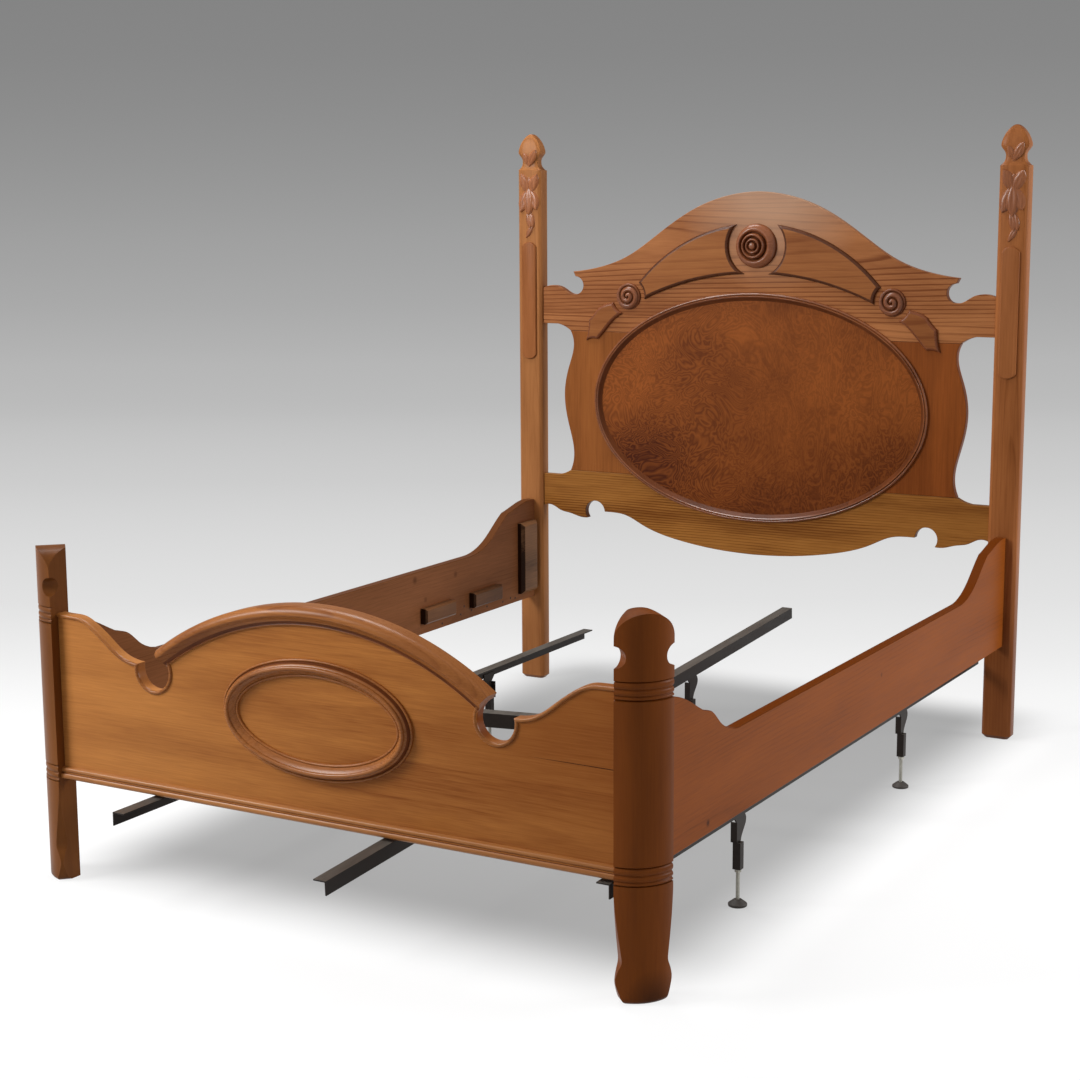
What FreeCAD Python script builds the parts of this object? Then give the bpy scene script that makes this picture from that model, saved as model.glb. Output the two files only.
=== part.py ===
"""A carved wooden double bed frame with its folding steel under-frame, in millimetres.

+X is to the right seen from the foot, +Y runs from foot to head, +Z is up, and the origin
is on the floor at the middle of the bounding box.  The headboard is joined from a crest,
two stiles and a lower rail round an oval burl panel.  The footboard is one arched panel
between two quarter-round posts.  Two scrolled side rails hook into the posts.
"""
import FreeCAD
import Part
import math
import os

Vector = FreeCAD.Vector

# Whole bed
INSIDE_WIDTH = 1372.0
RAIL_LENGTH = 1942.0
FIT_GAP = 0.4
OVERRUN = 5.0

# Side rails
RAIL_T = 24.0
RAIL_BOTTOM_Z = 248.0
RAIL_H = 172.0
RAIL_FOOT_RISE = 126.0
RAIL_FOOT_RUN = 305.0
RAIL_HEAD_RISE = 113.0
RAIL_HEAD_RUN = 352.0
RAIL_FOOT_OGEE_SHARES = ((0.12, 0.95), (0.28, 0.82), (0.42, 0.65))
RAIL_FOOT_CUSP_SHARES = (0.51, 0.54)
RAIL_FOOT_STEP_SHARES = (0.59, 0.49)
RAIL_FOOT_TOE_SHARES = ((0.64, 0.44), (0.765, 0.20), (0.88, 0.07), (1.0, 0.0))
RAIL_HEAD_OGEE_SHARES = ((0.25, 0.93), (0.37, 0.84))
RAIL_HEAD_CUSP_SHARES = (0.42, 0.81)
RAIL_HEAD_TOE_SHARES = ((0.55, 0.55), (0.69, 0.26), (0.84, 0.07), (1.0, 0.0))

# Slat blocks and hook cleats on the rails' inner faces
BLOCK_L = 150.0
BLOCK_H = 42.0
BLOCK_T = 20.0
BLOCK_Z = 277.0
BLOCK_FROM_HEAD = 285.0
BLOCK_PITCH = 244.0
BLOCK_BEVEL = 5.0
CLEAT_W = 86.0
CLEAT_H = 205.0
CLEAT_Z = 270.0
CLEAT_FROM_HEAD = 10.0
CLEAT_BEVEL = 9.0

# Hook plates let into the rails' ends
PLATE_W = 14.0
PLATE_H = 120.0
PLATE_T = 3.0
PLATE_Z = 276.0
HOOK_W = 5.0
HOOK_H = 18.0
HOOK_REACH = 14.0
HOOK_DROP = 6.0
HOOK_NECK = 5.0
SLOT_PLAY = 1.0

# Foot posts, quarter round with the inner corner planed off
FOOT_POST_R = 78.0
FOOT_POST_PLANED = 26.0
FOOT_POST_H = 704.0
FOOT_INSIDE = 1298.0
HEAD_ARC_H = 46.0
NOTCH_R = 20.0
NOTCH_Z = 626.0
NOTCH_DEPTH = 18.0
ANKLE_IN = 13.0
CALF_Z = 200.0
FOOT_TOE_SHARE = 1.25
FOOT_LEG_SHARES = ((0.9, 0.04), (0.46, 0.12), (0.2, 0.205), (0.46, 0.29), (0.92, 0.375),
                   (0.86, 0.45), (0.55, 0.605), (0.2, 0.82), (0.0, 1.0))
RING_TOP_UPPER_Z = 584.0
RING_TOP_LOWER_Z = 250.0
RING_SET_H = 33.0
RING_DEPTH = 4.5
RING_GROOVE_SHARES = (0.0, 0.46, 0.82, 1.0)
RING_CREST_SHARE = 0.12

# Footboard panel, its cap, base and oval mouldings
FOOT_PANEL_T = 22.0
FOOT_PANEL_SETBACK = 20.0
FOOT_PANEL_BOTTOM_Z = 221.0
SHOULDER_Z = 570.0
SHOULDER_DROP = 82.0
SHOULDER_CORNER_X = 437.0
SHOULDER_SHARES = ((0.17, 0.02), (0.29, 0.05), (0.42, 0.21), (0.58, 0.50), (0.74, 0.81), (0.84, 0.93),
                   (0.93, 0.985), (1.0, 1.0))
FOOT_NOTCH_X = 397.0
FOOT_NOTCH_R = 39.5
FOOT_NOTCH_Z = 478.0
ARCH_R = 642.0
ARCH_CENTRE_Z = -9.0
CAP_IN = 24.0
CAP_OVER = 15.0
CAP_PROUD = 18.0
CAP_BACK = 4.0
CAP_HALF_ANGLE = 36.0
CAP_ROLL_SHARE = 0.45
CAP_FILLET_SHARE = 0.30
BASE_H = 26.0
BASE_PROUD = 12.0
BASE_BEAD_SHARE = 0.54
BASE_QUIRK_SHARE = 0.45
FOOT_OVAL_A = 221.0
FOOT_OVAL_HALF_SHARE = 0.326
FOOT_OVAL_MIDDLE_SHARE = 0.497
FOOT_OVAL_W = 35.0
FOOT_OVAL_PROUD = 19.0
FOOT_OVAL_SHARES = ((0.0, 0.0), (0.0, 0.22), (0.37, 0.86), (0.47, 1.0), (0.57, 0.86), (1.0, 0.2), (1.0, 0.0))

# Head posts
HEAD_POST_W = 76.0
HEAD_POST_D = 38.0
HEAD_POST_H = 1570.0
HEAD_POST_CHAMFER = 8.0
HEAD_POST_BEVEL = 9.0
FINIAL_H = 100.0
FINIAL_NECK_SHARES = (0.60, 0.22)
FINIAL_BELLY_SHARES = (0.97, 0.48)
FINIAL_CHEEK_SHARES = (0.58, 0.84)
FINIAL_TIP_SHARE = 0.10
STRIP_W = 46.0
STRIP_T = 10.0
STRIP_BOTTOM_Z = 939.0
STRIP_TOP_Z = 1270.0
STRIP_CROWN = 14.0
STRIP_BEVEL = 5.0
DROP_TOP_Z = 1446.0
DROP_H = 156.0
DROP_HUSKS = 3
DROP_R = 15.0
DROP_TAPER_SHARE = 0.16
DROP_OVERLAP_SHARE = 0.14

# Headboard boards
BOARD_T = 20.0
BOARD_SETBACK = 12.0
OVAL_A = 478.0
OVAL_B = 298.0
OVAL_Z = 829.0
CREST_TOP_Z = 1409.0
EAR_X = 562.0
EAR_Z = 1189.0
EAR_LIP = 14.0
CREST_SHARES = ((0.13, 0.965), (0.30, 0.83), (0.534, 0.468), (0.70, 0.195), (0.86, 0.055), (1.0, 0.0))
HOOK_CUT_R = 25.0
HUMP_TOP_Z = 1149.0
HUMP_SHARES = ((0.20, 0.17), (0.44, 0.79), (0.66, 1.0), (1.0, 0.68))
CREST_END_Z = 1041.0
CREST_JOINT_Z = 1023.0
SIDE_GAP_W = 48.0
STILE_WAVE = 30.0
STILE_IN_X = 561.0
STILE_FOOT_SHARE = 0.36
STILE_SHARES = ((0.0, 0.90), (0.53, 0.744), (1.0, 0.549), (0.53, 0.321), (0.0, 0.135),
                (STILE_FOOT_SHARE, 0.0))
LOWER_JOINT_Z = 624.0
LOWER_END_TOP_Z = 609.0
LOWER_END_Z = 516.0
LOWER_BOTTOM_Z = 426.0
LOWER_TIP_X = 516.0
LOWER_TIP_DROP = 26.0
LOWER_STEP_SHARES = ((0.24, 0.02), (0.38, 0.42), (0.60, 0.66), (0.80, 0.96), (1.0, 1.0))
LOWER_CUT_X = 462.0
LOWER_CUT_RISE = 50.0
LOWER_SWAG_SHARES = ((0.94, 1.0), (0.86, 0.95), (0.74, 0.66), (0.47, 0.23), (0.22, 0.05), (0.0, 0.0))

# Burl panel, its ring and the applied ornament
BURL_T = 12.0
BURL_SETBACK = 3.0
RING_OUT = 13.0
RING_IN = 8.0
RING_PROUD = 9.0
RING_EDGE_SHARE = 0.45
RING_CROWN_SHARES = (0.62, 0.25)
ORNAMENT_T = 9.0
ROSETTE_Z = 1265.0
ROSETTE_R = 59.0
ROSETTE_T = 24.0
ROSETTE_CLEAR = 23.0
SMALL_ROSETTE_X = 385.0
SMALL_ROSETTE_Z = 1123.0
SMALL_ROSETTE_R = 37.0
SMALL_ROSETTE_T = 17.0
SMALL_ROSETTE_CLEAR = 13.0
ROSETTE_SHARES = ((0.97, 0.30), (0.83, 0.58), (0.67, 0.34), (0.50, 0.80), (0.36, 0.50),
                  (0.26, 0.88), (0.0, 1.0))
WING_TOP_Z = 1325.5
WING_TOP_R = 463.0
WING_BOTTOM_Z = 1191.0
WING_BOTTOM_R = 790.0
WING_END_SHARE = 0.97
TAIL_REACH_X = 519.0
TAIL_TIP_Z = 997.0
TAIL_UPPER_SHARES = ((0.33, 0.86), (0.62, 0.78))
TAIL_STEP_SHARES = ((0.73, 0.70), (0.80, 0.60))
TAIL_EDGE_SHARES = ((0.925, 0.47), (0.94, 0.25), (1.0, 0.0))
TAIL_HEEL_SHARES = ((0.84, 0.05), (0.72, 0.04))
TAIL_LOWER_SHARES = ((0.56, 0.22), (0.43, 0.38), (0.15, 0.62))

# Steel under-frame
ANGLE_W = 28.0
ANGLE_T = 3.0
IRON_TOP_Z = 215.0
LEFT_IRON_X = -415.0
LEFT_IRON_L = 1921.0
LEFT_IRON_FRONT = 176.0
RIGHT_IRON_X = 638.0
RIGHT_IRON_L = 2045.0
RIGHT_IRON_FRONT = 70.0
CENTRE_IRON_X = 172.0
CENTRE_IRON_L = 2105.0
CENTRE_IRON_FRONT = 274.0
CENTRE_IRON_FRONT_Z = 203.0
CENTRE_IRON_REAR_Z = 317.0
BAR_W = 34.0
BAR_LEFT_Y = 813.0
BAR_RIGHT_Y = 1017.0
SPACER_R = 9.0
TONGUE_R = 8.5
RIVET_R = 4.0
RIVET_HEAD_R = 7.0
RIVET_HEAD_H = 3.0

# Levelling legs
LEFT_LEG_REAR_Y = 1236.0
LEFT_LEG_FRONT_Y = 545.0
CENTRE_LEG_REAR_Y = 1225.0
CENTRE_LEG_FRONT_Y = 545.0
RIGHT_LEG_REAR_Y = 1415.0
RIGHT_LEG_FRONT_Y = 481.0
BRACKET_H = 54.0
BRACKET_FLARE = 12.0
BRACKET_BULGE = 24.0
BRACKET_FLANGE = 14.0
BRACKET_SHARES = ((1.0, 0.32), (0.36, 0.70))
BRACKET_LAP = 20.0
BRACKET_T = 3.0
BRACKET_NECK = 20.0
SLEEVE_R = 8.5
SLEEVE_BOTTOM_Z = 77.0
NUT_H = 6.0
NUT_R = 7.5
STEM_R = 4.0
STEM_PLAY = 0.4
STEM_TRAVEL = 38.0
GLIDE_R = 19.5
GLIDE_H = 14.0
GLIDE_RIM_H = 5.0
GLIDE_NECK_R = 8.0

# Places that follow from the sizes
DEPTH = CENTRE_IRON_FRONT + RAIL_LENGTH + HEAD_POST_D
FOOT_Y = CENTRE_IRON_FRONT - DEPTH / 2
HEAD_Y = FOOT_Y + RAIL_LENGTH
RAIL_IN_X = INSIDE_WIDTH / 2
RAIL_MID_X = RAIL_IN_X + RAIL_T / 2
HEAD_IN_X = RAIL_MID_X - HEAD_POST_W / 2
FOOT_IN_X = FOOT_INSIDE / 2
PANEL_Y = FOOT_Y - FOOT_POST_R + FOOT_PANEL_SETBACK
BOARD_Y = HEAD_Y + BOARD_SETBACK
SPAN = 2 * DEPTH
UP = Vector(0, 0, 1)
ALONG = Vector(0, 1, 0)
ACROSS = Vector(1, 0, 0)
CENTRE = Vector(0, 0, 0)

os.makedirs("parts", exist_ok=True)


def save(name, *solids):
    """Write one piece, or a set of like pieces, to its own file."""
    shape = solids[0] if len(solids) == 1 else Part.makeCompound(list(solids))
    shape.exportStep("parts/" + name + ".step")


def mirrored(shape):
    """The same piece on the other side of the bed."""
    return shape.mirror(CENTRE, ACROSS)


def front(y):
    """Places outline points on an upright plane that faces the foot."""
    return lambda u, w: Vector(u, y, w)


def side(x):
    """Places outline points on an upright plane along the bed."""
    return lambda u, w: Vector(x, u, w)


def shared(shares, u0, w0, du, dw):
    """Points given as shares of a width and a height from one corner."""
    return [(u0 + du * a, w0 + dw * b) for a, b in shares]


def outline(at, start, *runs):
    """A closed wire of lines, three-point arcs and smooth curves."""
    edges = []
    here = start
    for kind, *points in runs:
        places = [at(*here)] + [at(*p) for p in points]
        if kind == "line":
            edges += [Part.makeLine(a, b) for a, b in zip(places, places[1:])]
        elif kind == "arc":
            edges.append(Part.Arc(*places).toShape())
        else:
            spline = Part.BSplineCurve()
            spline.interpolate(places)
            edges.append(spline.toShape())
        here = points[-1]
    return Part.Wire(edges)


def board(wire, direction, thickness):
    """A sawn board from its outline."""
    return Part.Face(wire).extrude(direction * thickness)


def whole(half):
    """A symmetric piece from its right half."""
    return half.fuse(mirrored(half)).removeSplitter()


def box(x0, x1, y0, y1, z0, z1):
    """A block between two corners."""
    return Part.makeBox(x1 - x0, y1 - y0, z1 - z0, Vector(x0, y0, z0))


def bevelled(shape, at_plane, size):
    """Bevels every edge that lies on one plane of a piece."""
    edges = [e for e in shape.Edges if at_plane(e.BoundBox)]
    return shape.makeChamfer(size, edges)


def oval_cutter(a, b, z, y0, y1):
    """An upright oval block, long axis across the bed."""
    ring = Part.Ellipse(Vector(0, y0, z), a, b).toShape()
    ring.rotate(Vector(0, y0, z), ACROSS, 90)
    return Part.Face(Part.Wire([ring])).extrude(ALONG * (y1 - y0))


def oval_moulding(a, b, z, y, section):
    """A moulding bent round an oval; section points are outward offset and depth."""
    path = Part.Ellipse(Vector(0, y, z), a, b).toShape()
    path.rotate(Vector(0, y, z), ACROSS, 90)
    corners = [Vector(a + r, y + d, z) for r, d in section]
    profile = Part.makePolygon(corners + corners[:1])
    return Part.Wire([path]).makePipeShell([profile], True, True)


def turned(profile, at, axis):
    """A lathe-turned piece from its half section."""
    return Part.Face(profile).revolve(at, axis, 360)


# Side rails: boards with scrolled ends, the right one first
top_z = RAIL_BOTTOM_Z + RAIL_H
foot_scroll = shared(RAIL_FOOT_OGEE_SHARES, FOOT_Y, top_z, RAIL_FOOT_RUN, RAIL_FOOT_RISE)
foot_cusp, foot_step = shared((RAIL_FOOT_CUSP_SHARES, RAIL_FOOT_STEP_SHARES), FOOT_Y, top_z,
                              RAIL_FOOT_RUN, RAIL_FOOT_RISE)
foot_toe = shared(RAIL_FOOT_TOE_SHARES, FOOT_Y, top_z, RAIL_FOOT_RUN, RAIL_FOOT_RISE)
head_scroll = shared(RAIL_HEAD_OGEE_SHARES, HEAD_Y, top_z, -RAIL_HEAD_RUN, RAIL_HEAD_RISE)
head_cusp = shared((RAIL_HEAD_CUSP_SHARES,), HEAD_Y, top_z, -RAIL_HEAD_RUN, RAIL_HEAD_RISE)[0]
head_toe = shared(RAIL_HEAD_TOE_SHARES, HEAD_Y, top_z, -RAIL_HEAD_RUN, RAIL_HEAD_RISE)
rail_wire = outline(
    side(RAIL_IN_X), (FOOT_Y, RAIL_BOTTOM_Z),
    ("line", (FOOT_Y, top_z + RAIL_FOOT_RISE)),
    ("curve", *foot_scroll, foot_cusp),
    ("line", foot_step),
    ("curve", *foot_toe),
    ("line", head_toe[-1]),
    ("curve", *head_toe[-2::-1], head_cusp),
    ("curve", *head_scroll[::-1], (HEAD_Y, top_z + RAIL_HEAD_RISE)),
    ("line", (HEAD_Y, RAIL_BOTTOM_Z), (FOOT_Y, RAIL_BOTTOM_Z)))
rail = board(rail_wire, ACROSS, RAIL_T)

# Hook plates: a plate let flush into each rail end, with two hooks that drop into the post
plates = []
pockets = []
for end_y, into in ((FOOT_Y, 1), (HEAD_Y, -1)):
    low_y, high_y = sorted((end_y, end_y + into * PLATE_T))
    plate = box(RAIL_MID_X - PLATE_W / 2, RAIL_MID_X + PLATE_W / 2, low_y, high_y, PLATE_Z, PLATE_Z + PLATE_H)
    rail = rail.cut(plate)
    for hook_z in (PLATE_Z + HOOK_DROP, PLATE_Z + PLATE_H - HOOK_H):
        tip_y = end_y - into * HOOK_REACH
        neck_y = end_y - into * HOOK_NECK
        hook_wire = outline(
            side(RAIL_MID_X - HOOK_W / 2), (end_y, hook_z),
            ("line", (neck_y, hook_z), (neck_y, hook_z - HOOK_DROP), (tip_y, hook_z - HOOK_DROP),
             (tip_y, hook_z + HOOK_H), (end_y, hook_z + HOOK_H), (end_y, hook_z)))
        plate = plate.fuse(board(hook_wire, ACROSS, HOOK_W))
        low_y, high_y = sorted((end_y, tip_y - into * SLOT_PLAY))
        slot_half = HOOK_W / 2 + SLOT_PLAY
        pockets.append(box(RAIL_MID_X - slot_half, RAIL_MID_X + slot_half, low_y, high_y,
                           hook_z - HOOK_DROP - SLOT_PLAY, hook_z + HOOK_H + HOOK_DROP))
    plates.append(plate)
slots = pockets[0].fuse(pockets[1:])
save("side_rail_right", rail)
save("side_rail_left", mirrored(rail))
save("rail_hooks_right", *plates)
save("rail_hooks_left", *[mirrored(p) for p in plates])

# Slat blocks near the head and the cleat that backs the hook plate
blocks = []
for count in (0, 1):
    high_y = HEAD_Y - BLOCK_FROM_HEAD - count * BLOCK_PITCH + BLOCK_L / 2
    block = box(RAIL_IN_X - BLOCK_T, RAIL_IN_X, high_y - BLOCK_L, high_y, BLOCK_Z, BLOCK_Z + BLOCK_H)
    blocks.append(bevelled(block, lambda b: b.XMax < RAIL_IN_X - BLOCK_T / 2, BLOCK_BEVEL))
cleat = box(RAIL_IN_X - BLOCK_T, RAIL_IN_X, HEAD_Y - CLEAT_FROM_HEAD - CLEAT_W, HEAD_Y - CLEAT_FROM_HEAD,
            CLEAT_Z, CLEAT_Z + CLEAT_H)
cleat = bevelled(cleat, lambda b: b.XMax < RAIL_IN_X - BLOCK_T / 2, CLEAT_BEVEL)
save("slat_blocks_right", *blocks)
save("slat_blocks_left", *[mirrored(b) for b in blocks])
save("hook_cleat_right", cleat)
save("hook_cleat_left", mirrored(cleat))

# Foot posts: a quarter-round blank, turned with rings, then sawn to shape across the diagonal
corner = Vector(FOOT_IN_X, FOOT_Y, 0)
arc_mid = FOOT_POST_R * math.sqrt(0.5)
section = Part.Wire([
    Part.makeLine(Vector(0, -FOOT_POST_PLANED, 0), Vector(0, -FOOT_POST_R, 0)),
    Part.Arc(Vector(0, -FOOT_POST_R, 0), Vector(arc_mid, -arc_mid, 0), Vector(FOOT_POST_R, 0, 0)).toShape(),
    Part.makeLine(Vector(FOOT_POST_R, 0, 0), Vector(FOOT_POST_PLANED, 0, 0)),
    Part.makeLine(Vector(FOOT_POST_PLANED, 0, 0), Vector(0, -FOOT_POST_PLANED, 0))])
blank = Part.Face(section).extrude(UP * FOOT_POST_H)
for ring_top in (RING_TOP_UPPER_Z, RING_TOP_LOWER_Z):
    levels = [ring_top - RING_SET_H * share for share in RING_GROOVE_SHARES]
    deep = FOOT_POST_R - RING_DEPTH
    crest = FOOT_POST_R - RING_DEPTH * RING_CREST_SHARE
    fillet = FOOT_POST_R - RING_DEPTH / 2
    clear = FOOT_POST_R + RING_DEPTH
    runs = [("line", (deep, levels[0]))]
    for high, low in zip(levels[:2], levels[1:]):
        third = (high - low) / 3
        runs.append(("line", (crest, high - third), (crest, low + third), (deep, low)))
    runs.append(("line", (fillet, levels[2]), (fillet, levels[3]), (clear, levels[3]), (clear, levels[0])))
    groove = outline(front(0), (clear, levels[0]), *runs)
    blank = blank.cut(turned(groove, CENTRE, UP))
half_w = arc_mid
wide = half_w + OVERRUN
head_z = FOOT_POST_H - HEAD_ARC_H
notch_in = half_w - NOTCH_DEPTH
toe = (half_w - ANKLE_IN * FOOT_TOE_SHARE, 0)
right_edge = [
    ("curve", *shared(FOOT_LEG_SHARES, half_w, 0, -ANKLE_IN, CALF_Z)),
    ("line", (wide, CALF_Z), (wide, NOTCH_Z - NOTCH_R), (half_w, NOTCH_Z - NOTCH_R)),
    ("arc", (notch_in, NOTCH_Z), (half_w, NOTCH_Z + NOTCH_R)),
    ("line", (wide, NOTCH_Z + NOTCH_R), (wide, head_z), (half_w, head_z)),
    ("arc", (half_w * math.sqrt(0.5), head_z + HEAD_ARC_H * math.sqrt(0.5)), (0, FOOT_POST_H))]
saw_right = outline(front(0), (0, 0), ("line", toe), *right_edge, ("line", (0, 0)))
saw = board(saw_right, ALONG, -SPAN)
saw = saw.fuse(mirrored(saw)).removeSplitter()
saw.rotate(CENTRE, UP, 45)
foot_post = blank.common(saw)
foot_post.translate(corner)
foot_post = foot_post.cut(slots)
save("foot_post_right", foot_post)
save("foot_post_left", mirrored(foot_post))

# Footboard panel: shoulders, round notches and a broad arch
cap_angle = math.radians(CAP_HALF_ANGLE)
arch_end = (ARCH_R * math.sin(cap_angle), ARCH_CENTRE_Z + ARCH_R * math.cos(cap_angle))
arch_mid = (ARCH_R * math.sin(cap_angle / 2), ARCH_CENTRE_Z + ARCH_R * math.cos(cap_angle / 2))
shoulder = shared(SHOULDER_SHARES, FOOT_IN_X, SHOULDER_Z, SHOULDER_CORNER_X - FOOT_IN_X, -SHOULDER_DROP)
notch_low = (FOOT_NOTCH_X - FOOT_NOTCH_R * math.sqrt(0.5), FOOT_NOTCH_Z - FOOT_NOTCH_R * math.sqrt(0.5))
panel_wire = outline(
    front(PANEL_Y), (0, FOOT_PANEL_BOTTOM_Z),
    ("line", (FOOT_IN_X, FOOT_PANEL_BOTTOM_Z), (FOOT_IN_X, SHOULDER_Z)),
    ("curve", *shoulder),
    ("arc", notch_low, arch_end),
    ("arc", arch_mid, (0, ARCH_CENTRE_Z + ARCH_R)),
    ("line", (0, FOOT_PANEL_BOTTOM_Z)))
save("foot_panel", whole(board(panel_wire, ALONG, FOOT_PANEL_T)))

# Arch cap: a moulding bent over the arch, a roll in front over a fillet
cap_low = ARCH_R - CAP_IN
cap_top = ARCH_R + CAP_OVER
cap_front = PANEL_Y - CAP_PROUD
cap_back = PANEL_Y + FOOT_PANEL_T + CAP_BACK
fillet_y = PANEL_Y - CAP_PROUD * CAP_FILLET_SHARE
roll_r = CAP_IN * CAP_ROLL_SHARE
cap_wire = outline(
    lambda r, y: Vector(0, y, ARCH_CENTRE_Z + r), (cap_low, PANEL_Y),
    ("line", (cap_low, fillet_y), (cap_low + roll_r / 2, fillet_y)),
    ("line", (cap_low + roll_r, cap_front + CAP_PROUD * CAP_FILLET_SHARE), (cap_low + 2 * roll_r, cap_front),
     (cap_top - CAP_OVER / 2, cap_front), (cap_top, fillet_y)),
    ("line", (cap_top, cap_back), (ARCH_R + FIT_GAP, cap_back), (ARCH_R + FIT_GAP, PANEL_Y),
     (cap_low, PANEL_Y)))
cap_face = Part.Face(cap_wire)
cap_axis = Vector(0, PANEL_Y, ARCH_CENTRE_Z)
cap_face.rotate(cap_axis, ALONG, -CAP_HALF_ANGLE)
save("arch_cap", cap_face.revolve(cap_axis, ALONG, 2 * CAP_HALF_ANGLE))

# Base moulding: two beads along the panel's foot
base_front = PANEL_Y - BASE_PROUD
bead_z = FOOT_PANEL_BOTTOM_Z + BASE_H * BASE_BEAD_SHARE
quirk_y = PANEL_Y - BASE_PROUD * BASE_QUIRK_SHARE
base_wire = outline(
    side(-FOOT_IN_X), (PANEL_Y, FOOT_PANEL_BOTTOM_Z),
    ("line", (quirk_y, FOOT_PANEL_BOTTOM_Z)),
    ("arc", (base_front, (FOOT_PANEL_BOTTOM_Z + bead_z) / 2), (quirk_y, bead_z)),
    ("arc", (base_front + BASE_PROUD * BASE_QUIRK_SHARE / 2, bead_z + BASE_H * (1 - BASE_BEAD_SHARE) / 2),
     (PANEL_Y, FOOT_PANEL_BOTTOM_Z + BASE_H)),
    ("line", (PANEL_Y, FOOT_PANEL_BOTTOM_Z)))
save("base_moulding", board(base_wire, ACROSS, FOOT_INSIDE))

# Oval moulding planted on the footboard
field_low = FOOT_PANEL_BOTTOM_Z + BASE_H
field_h = ARCH_CENTRE_Z + ARCH_R - CAP_IN - field_low
foot_oval_z = field_low + field_h * FOOT_OVAL_MIDDLE_SHARE
mid_a = FOOT_OVAL_A - FOOT_OVAL_W / 2
mid_b = field_h * FOOT_OVAL_HALF_SHARE - FOOT_OVAL_W / 2
foot_oval = [(FOOT_OVAL_W / 2 - FOOT_OVAL_W * a, -FOOT_OVAL_PROUD * b) for a, b in FOOT_OVAL_SHARES]
save("foot_oval_moulding", oval_moulding(mid_a, mid_b, foot_oval_z, PANEL_Y, foot_oval))

# Head posts: chamfered planks with a finial sawn from the top
x0, x1 = HEAD_IN_X, HEAD_IN_X + HEAD_POST_W
back_y = HEAD_Y + HEAD_POST_D
shaft_h = HEAD_POST_H - FINIAL_H
shaft = box(x0, x1, HEAD_Y, back_y, 0, shaft_h)
shaft = bevelled(shaft, lambda b: b.ZLength > BOARD_T and b.YMax < HEAD_Y + FIT_GAP, HEAD_POST_CHAMFER)
shaft = bevelled(shaft, lambda b: b.ZMax < FIT_GAP, HEAD_POST_BEVEL)


def finial_side(at, middle, half):
    """Half the finial's sawn outline: shoulder, neck, belly and tip."""
    neck, belly, cheek = shared((FINIAL_NECK_SHARES, FINIAL_BELLY_SHARES, FINIAL_CHEEK_SHARES),
                                0, shaft_h, half, FINIAL_H)
    tip = half * FINIAL_TIP_SHARE
    edge = [(half, shaft_h), neck, belly, cheek, (tip, HEAD_POST_H)]
    far = [(middle + u, w) for u, w in edge]
    near = [(middle - u, w) for u, w in edge]
    return outline(at, far[0], ("line", far[1]), ("curve", *far[2:]), ("line", near[-1]),
                   ("curve", *near[-2:0:-1]), ("line", near[0], far[0]))


depth_half = HEAD_POST_D / 2
seen = board(finial_side(front(HEAD_Y), RAIL_MID_X, HEAD_POST_W / 2), ALONG, HEAD_POST_D)
crossed = board(finial_side(side(x0), HEAD_Y + depth_half, depth_half), ACROSS, HEAD_POST_W)
head_post = shaft.fuse(seen.common(crossed)).cut(slots)
save("head_post_right", head_post)
save("head_post_left", mirrored(head_post))

# Pilaster strips planted on the head posts, with crowned ends and bevelled edges
strip_half = STRIP_W / 2
strip_wire = outline(
    front(HEAD_Y), (RAIL_MID_X - strip_half, STRIP_BOTTOM_Z + STRIP_CROWN),
    ("arc", (RAIL_MID_X, STRIP_BOTTOM_Z), (RAIL_MID_X + strip_half, STRIP_BOTTOM_Z + STRIP_CROWN)),
    ("line", (RAIL_MID_X + strip_half, STRIP_TOP_Z - STRIP_CROWN)),
    ("arc", (RAIL_MID_X, STRIP_TOP_Z), (RAIL_MID_X - strip_half, STRIP_TOP_Z - STRIP_CROWN)),
    ("line", (RAIL_MID_X - strip_half, STRIP_BOTTOM_Z + STRIP_CROWN)))
strip_front = HEAD_Y - STRIP_T
planed = Part.makePolygon([
    Vector(RAIL_MID_X - strip_half, HEAD_Y, 0), Vector(RAIL_MID_X - strip_half, strip_front + STRIP_BEVEL, 0),
    Vector(RAIL_MID_X - strip_half + STRIP_BEVEL, strip_front, 0),
    Vector(RAIL_MID_X + strip_half - STRIP_BEVEL, strip_front, 0),
    Vector(RAIL_MID_X + strip_half, strip_front + STRIP_BEVEL, 0), Vector(RAIL_MID_X + strip_half, HEAD_Y, 0),
    Vector(RAIL_MID_X - strip_half, HEAD_Y, 0)])
strip = board(planed, UP, HEAD_POST_H).common(board(strip_wire, ALONG, -STRIP_T))
save("pilaster_strip_right", strip)
save("pilaster_strip_left", mirrored(strip))

# Husk drops: bell-shaped husks in a falling row, split along the post's face
pitch = DROP_H / DROP_HUSKS
husks = []
for count in range(DROP_HUSKS):
    crown_z = DROP_TOP_Z - count * pitch
    tip_z = crown_z - pitch + pitch * DROP_OVERLAP_SHARE
    bell = DROP_R * (1 - DROP_TAPER_SHARE * count)
    waist_z = (crown_z + tip_z) / 2
    husk_wire = outline(
        front(0), (0, tip_z),
        ("line", (bell, waist_z), (0, crown_z), (0, tip_z)))
    husk = turned(husk_wire, CENTRE, UP)
    husk.translate(Vector(RAIL_MID_X, HEAD_Y, 0))
    husks.append(husk.common(box(x0, x1, HEAD_Y - HEAD_POST_D, HEAD_Y, 0, HEAD_POST_H)))
save("husk_drop_right", *husks)
save("husk_drop_left", *[mirrored(h) for h in husks])

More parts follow.
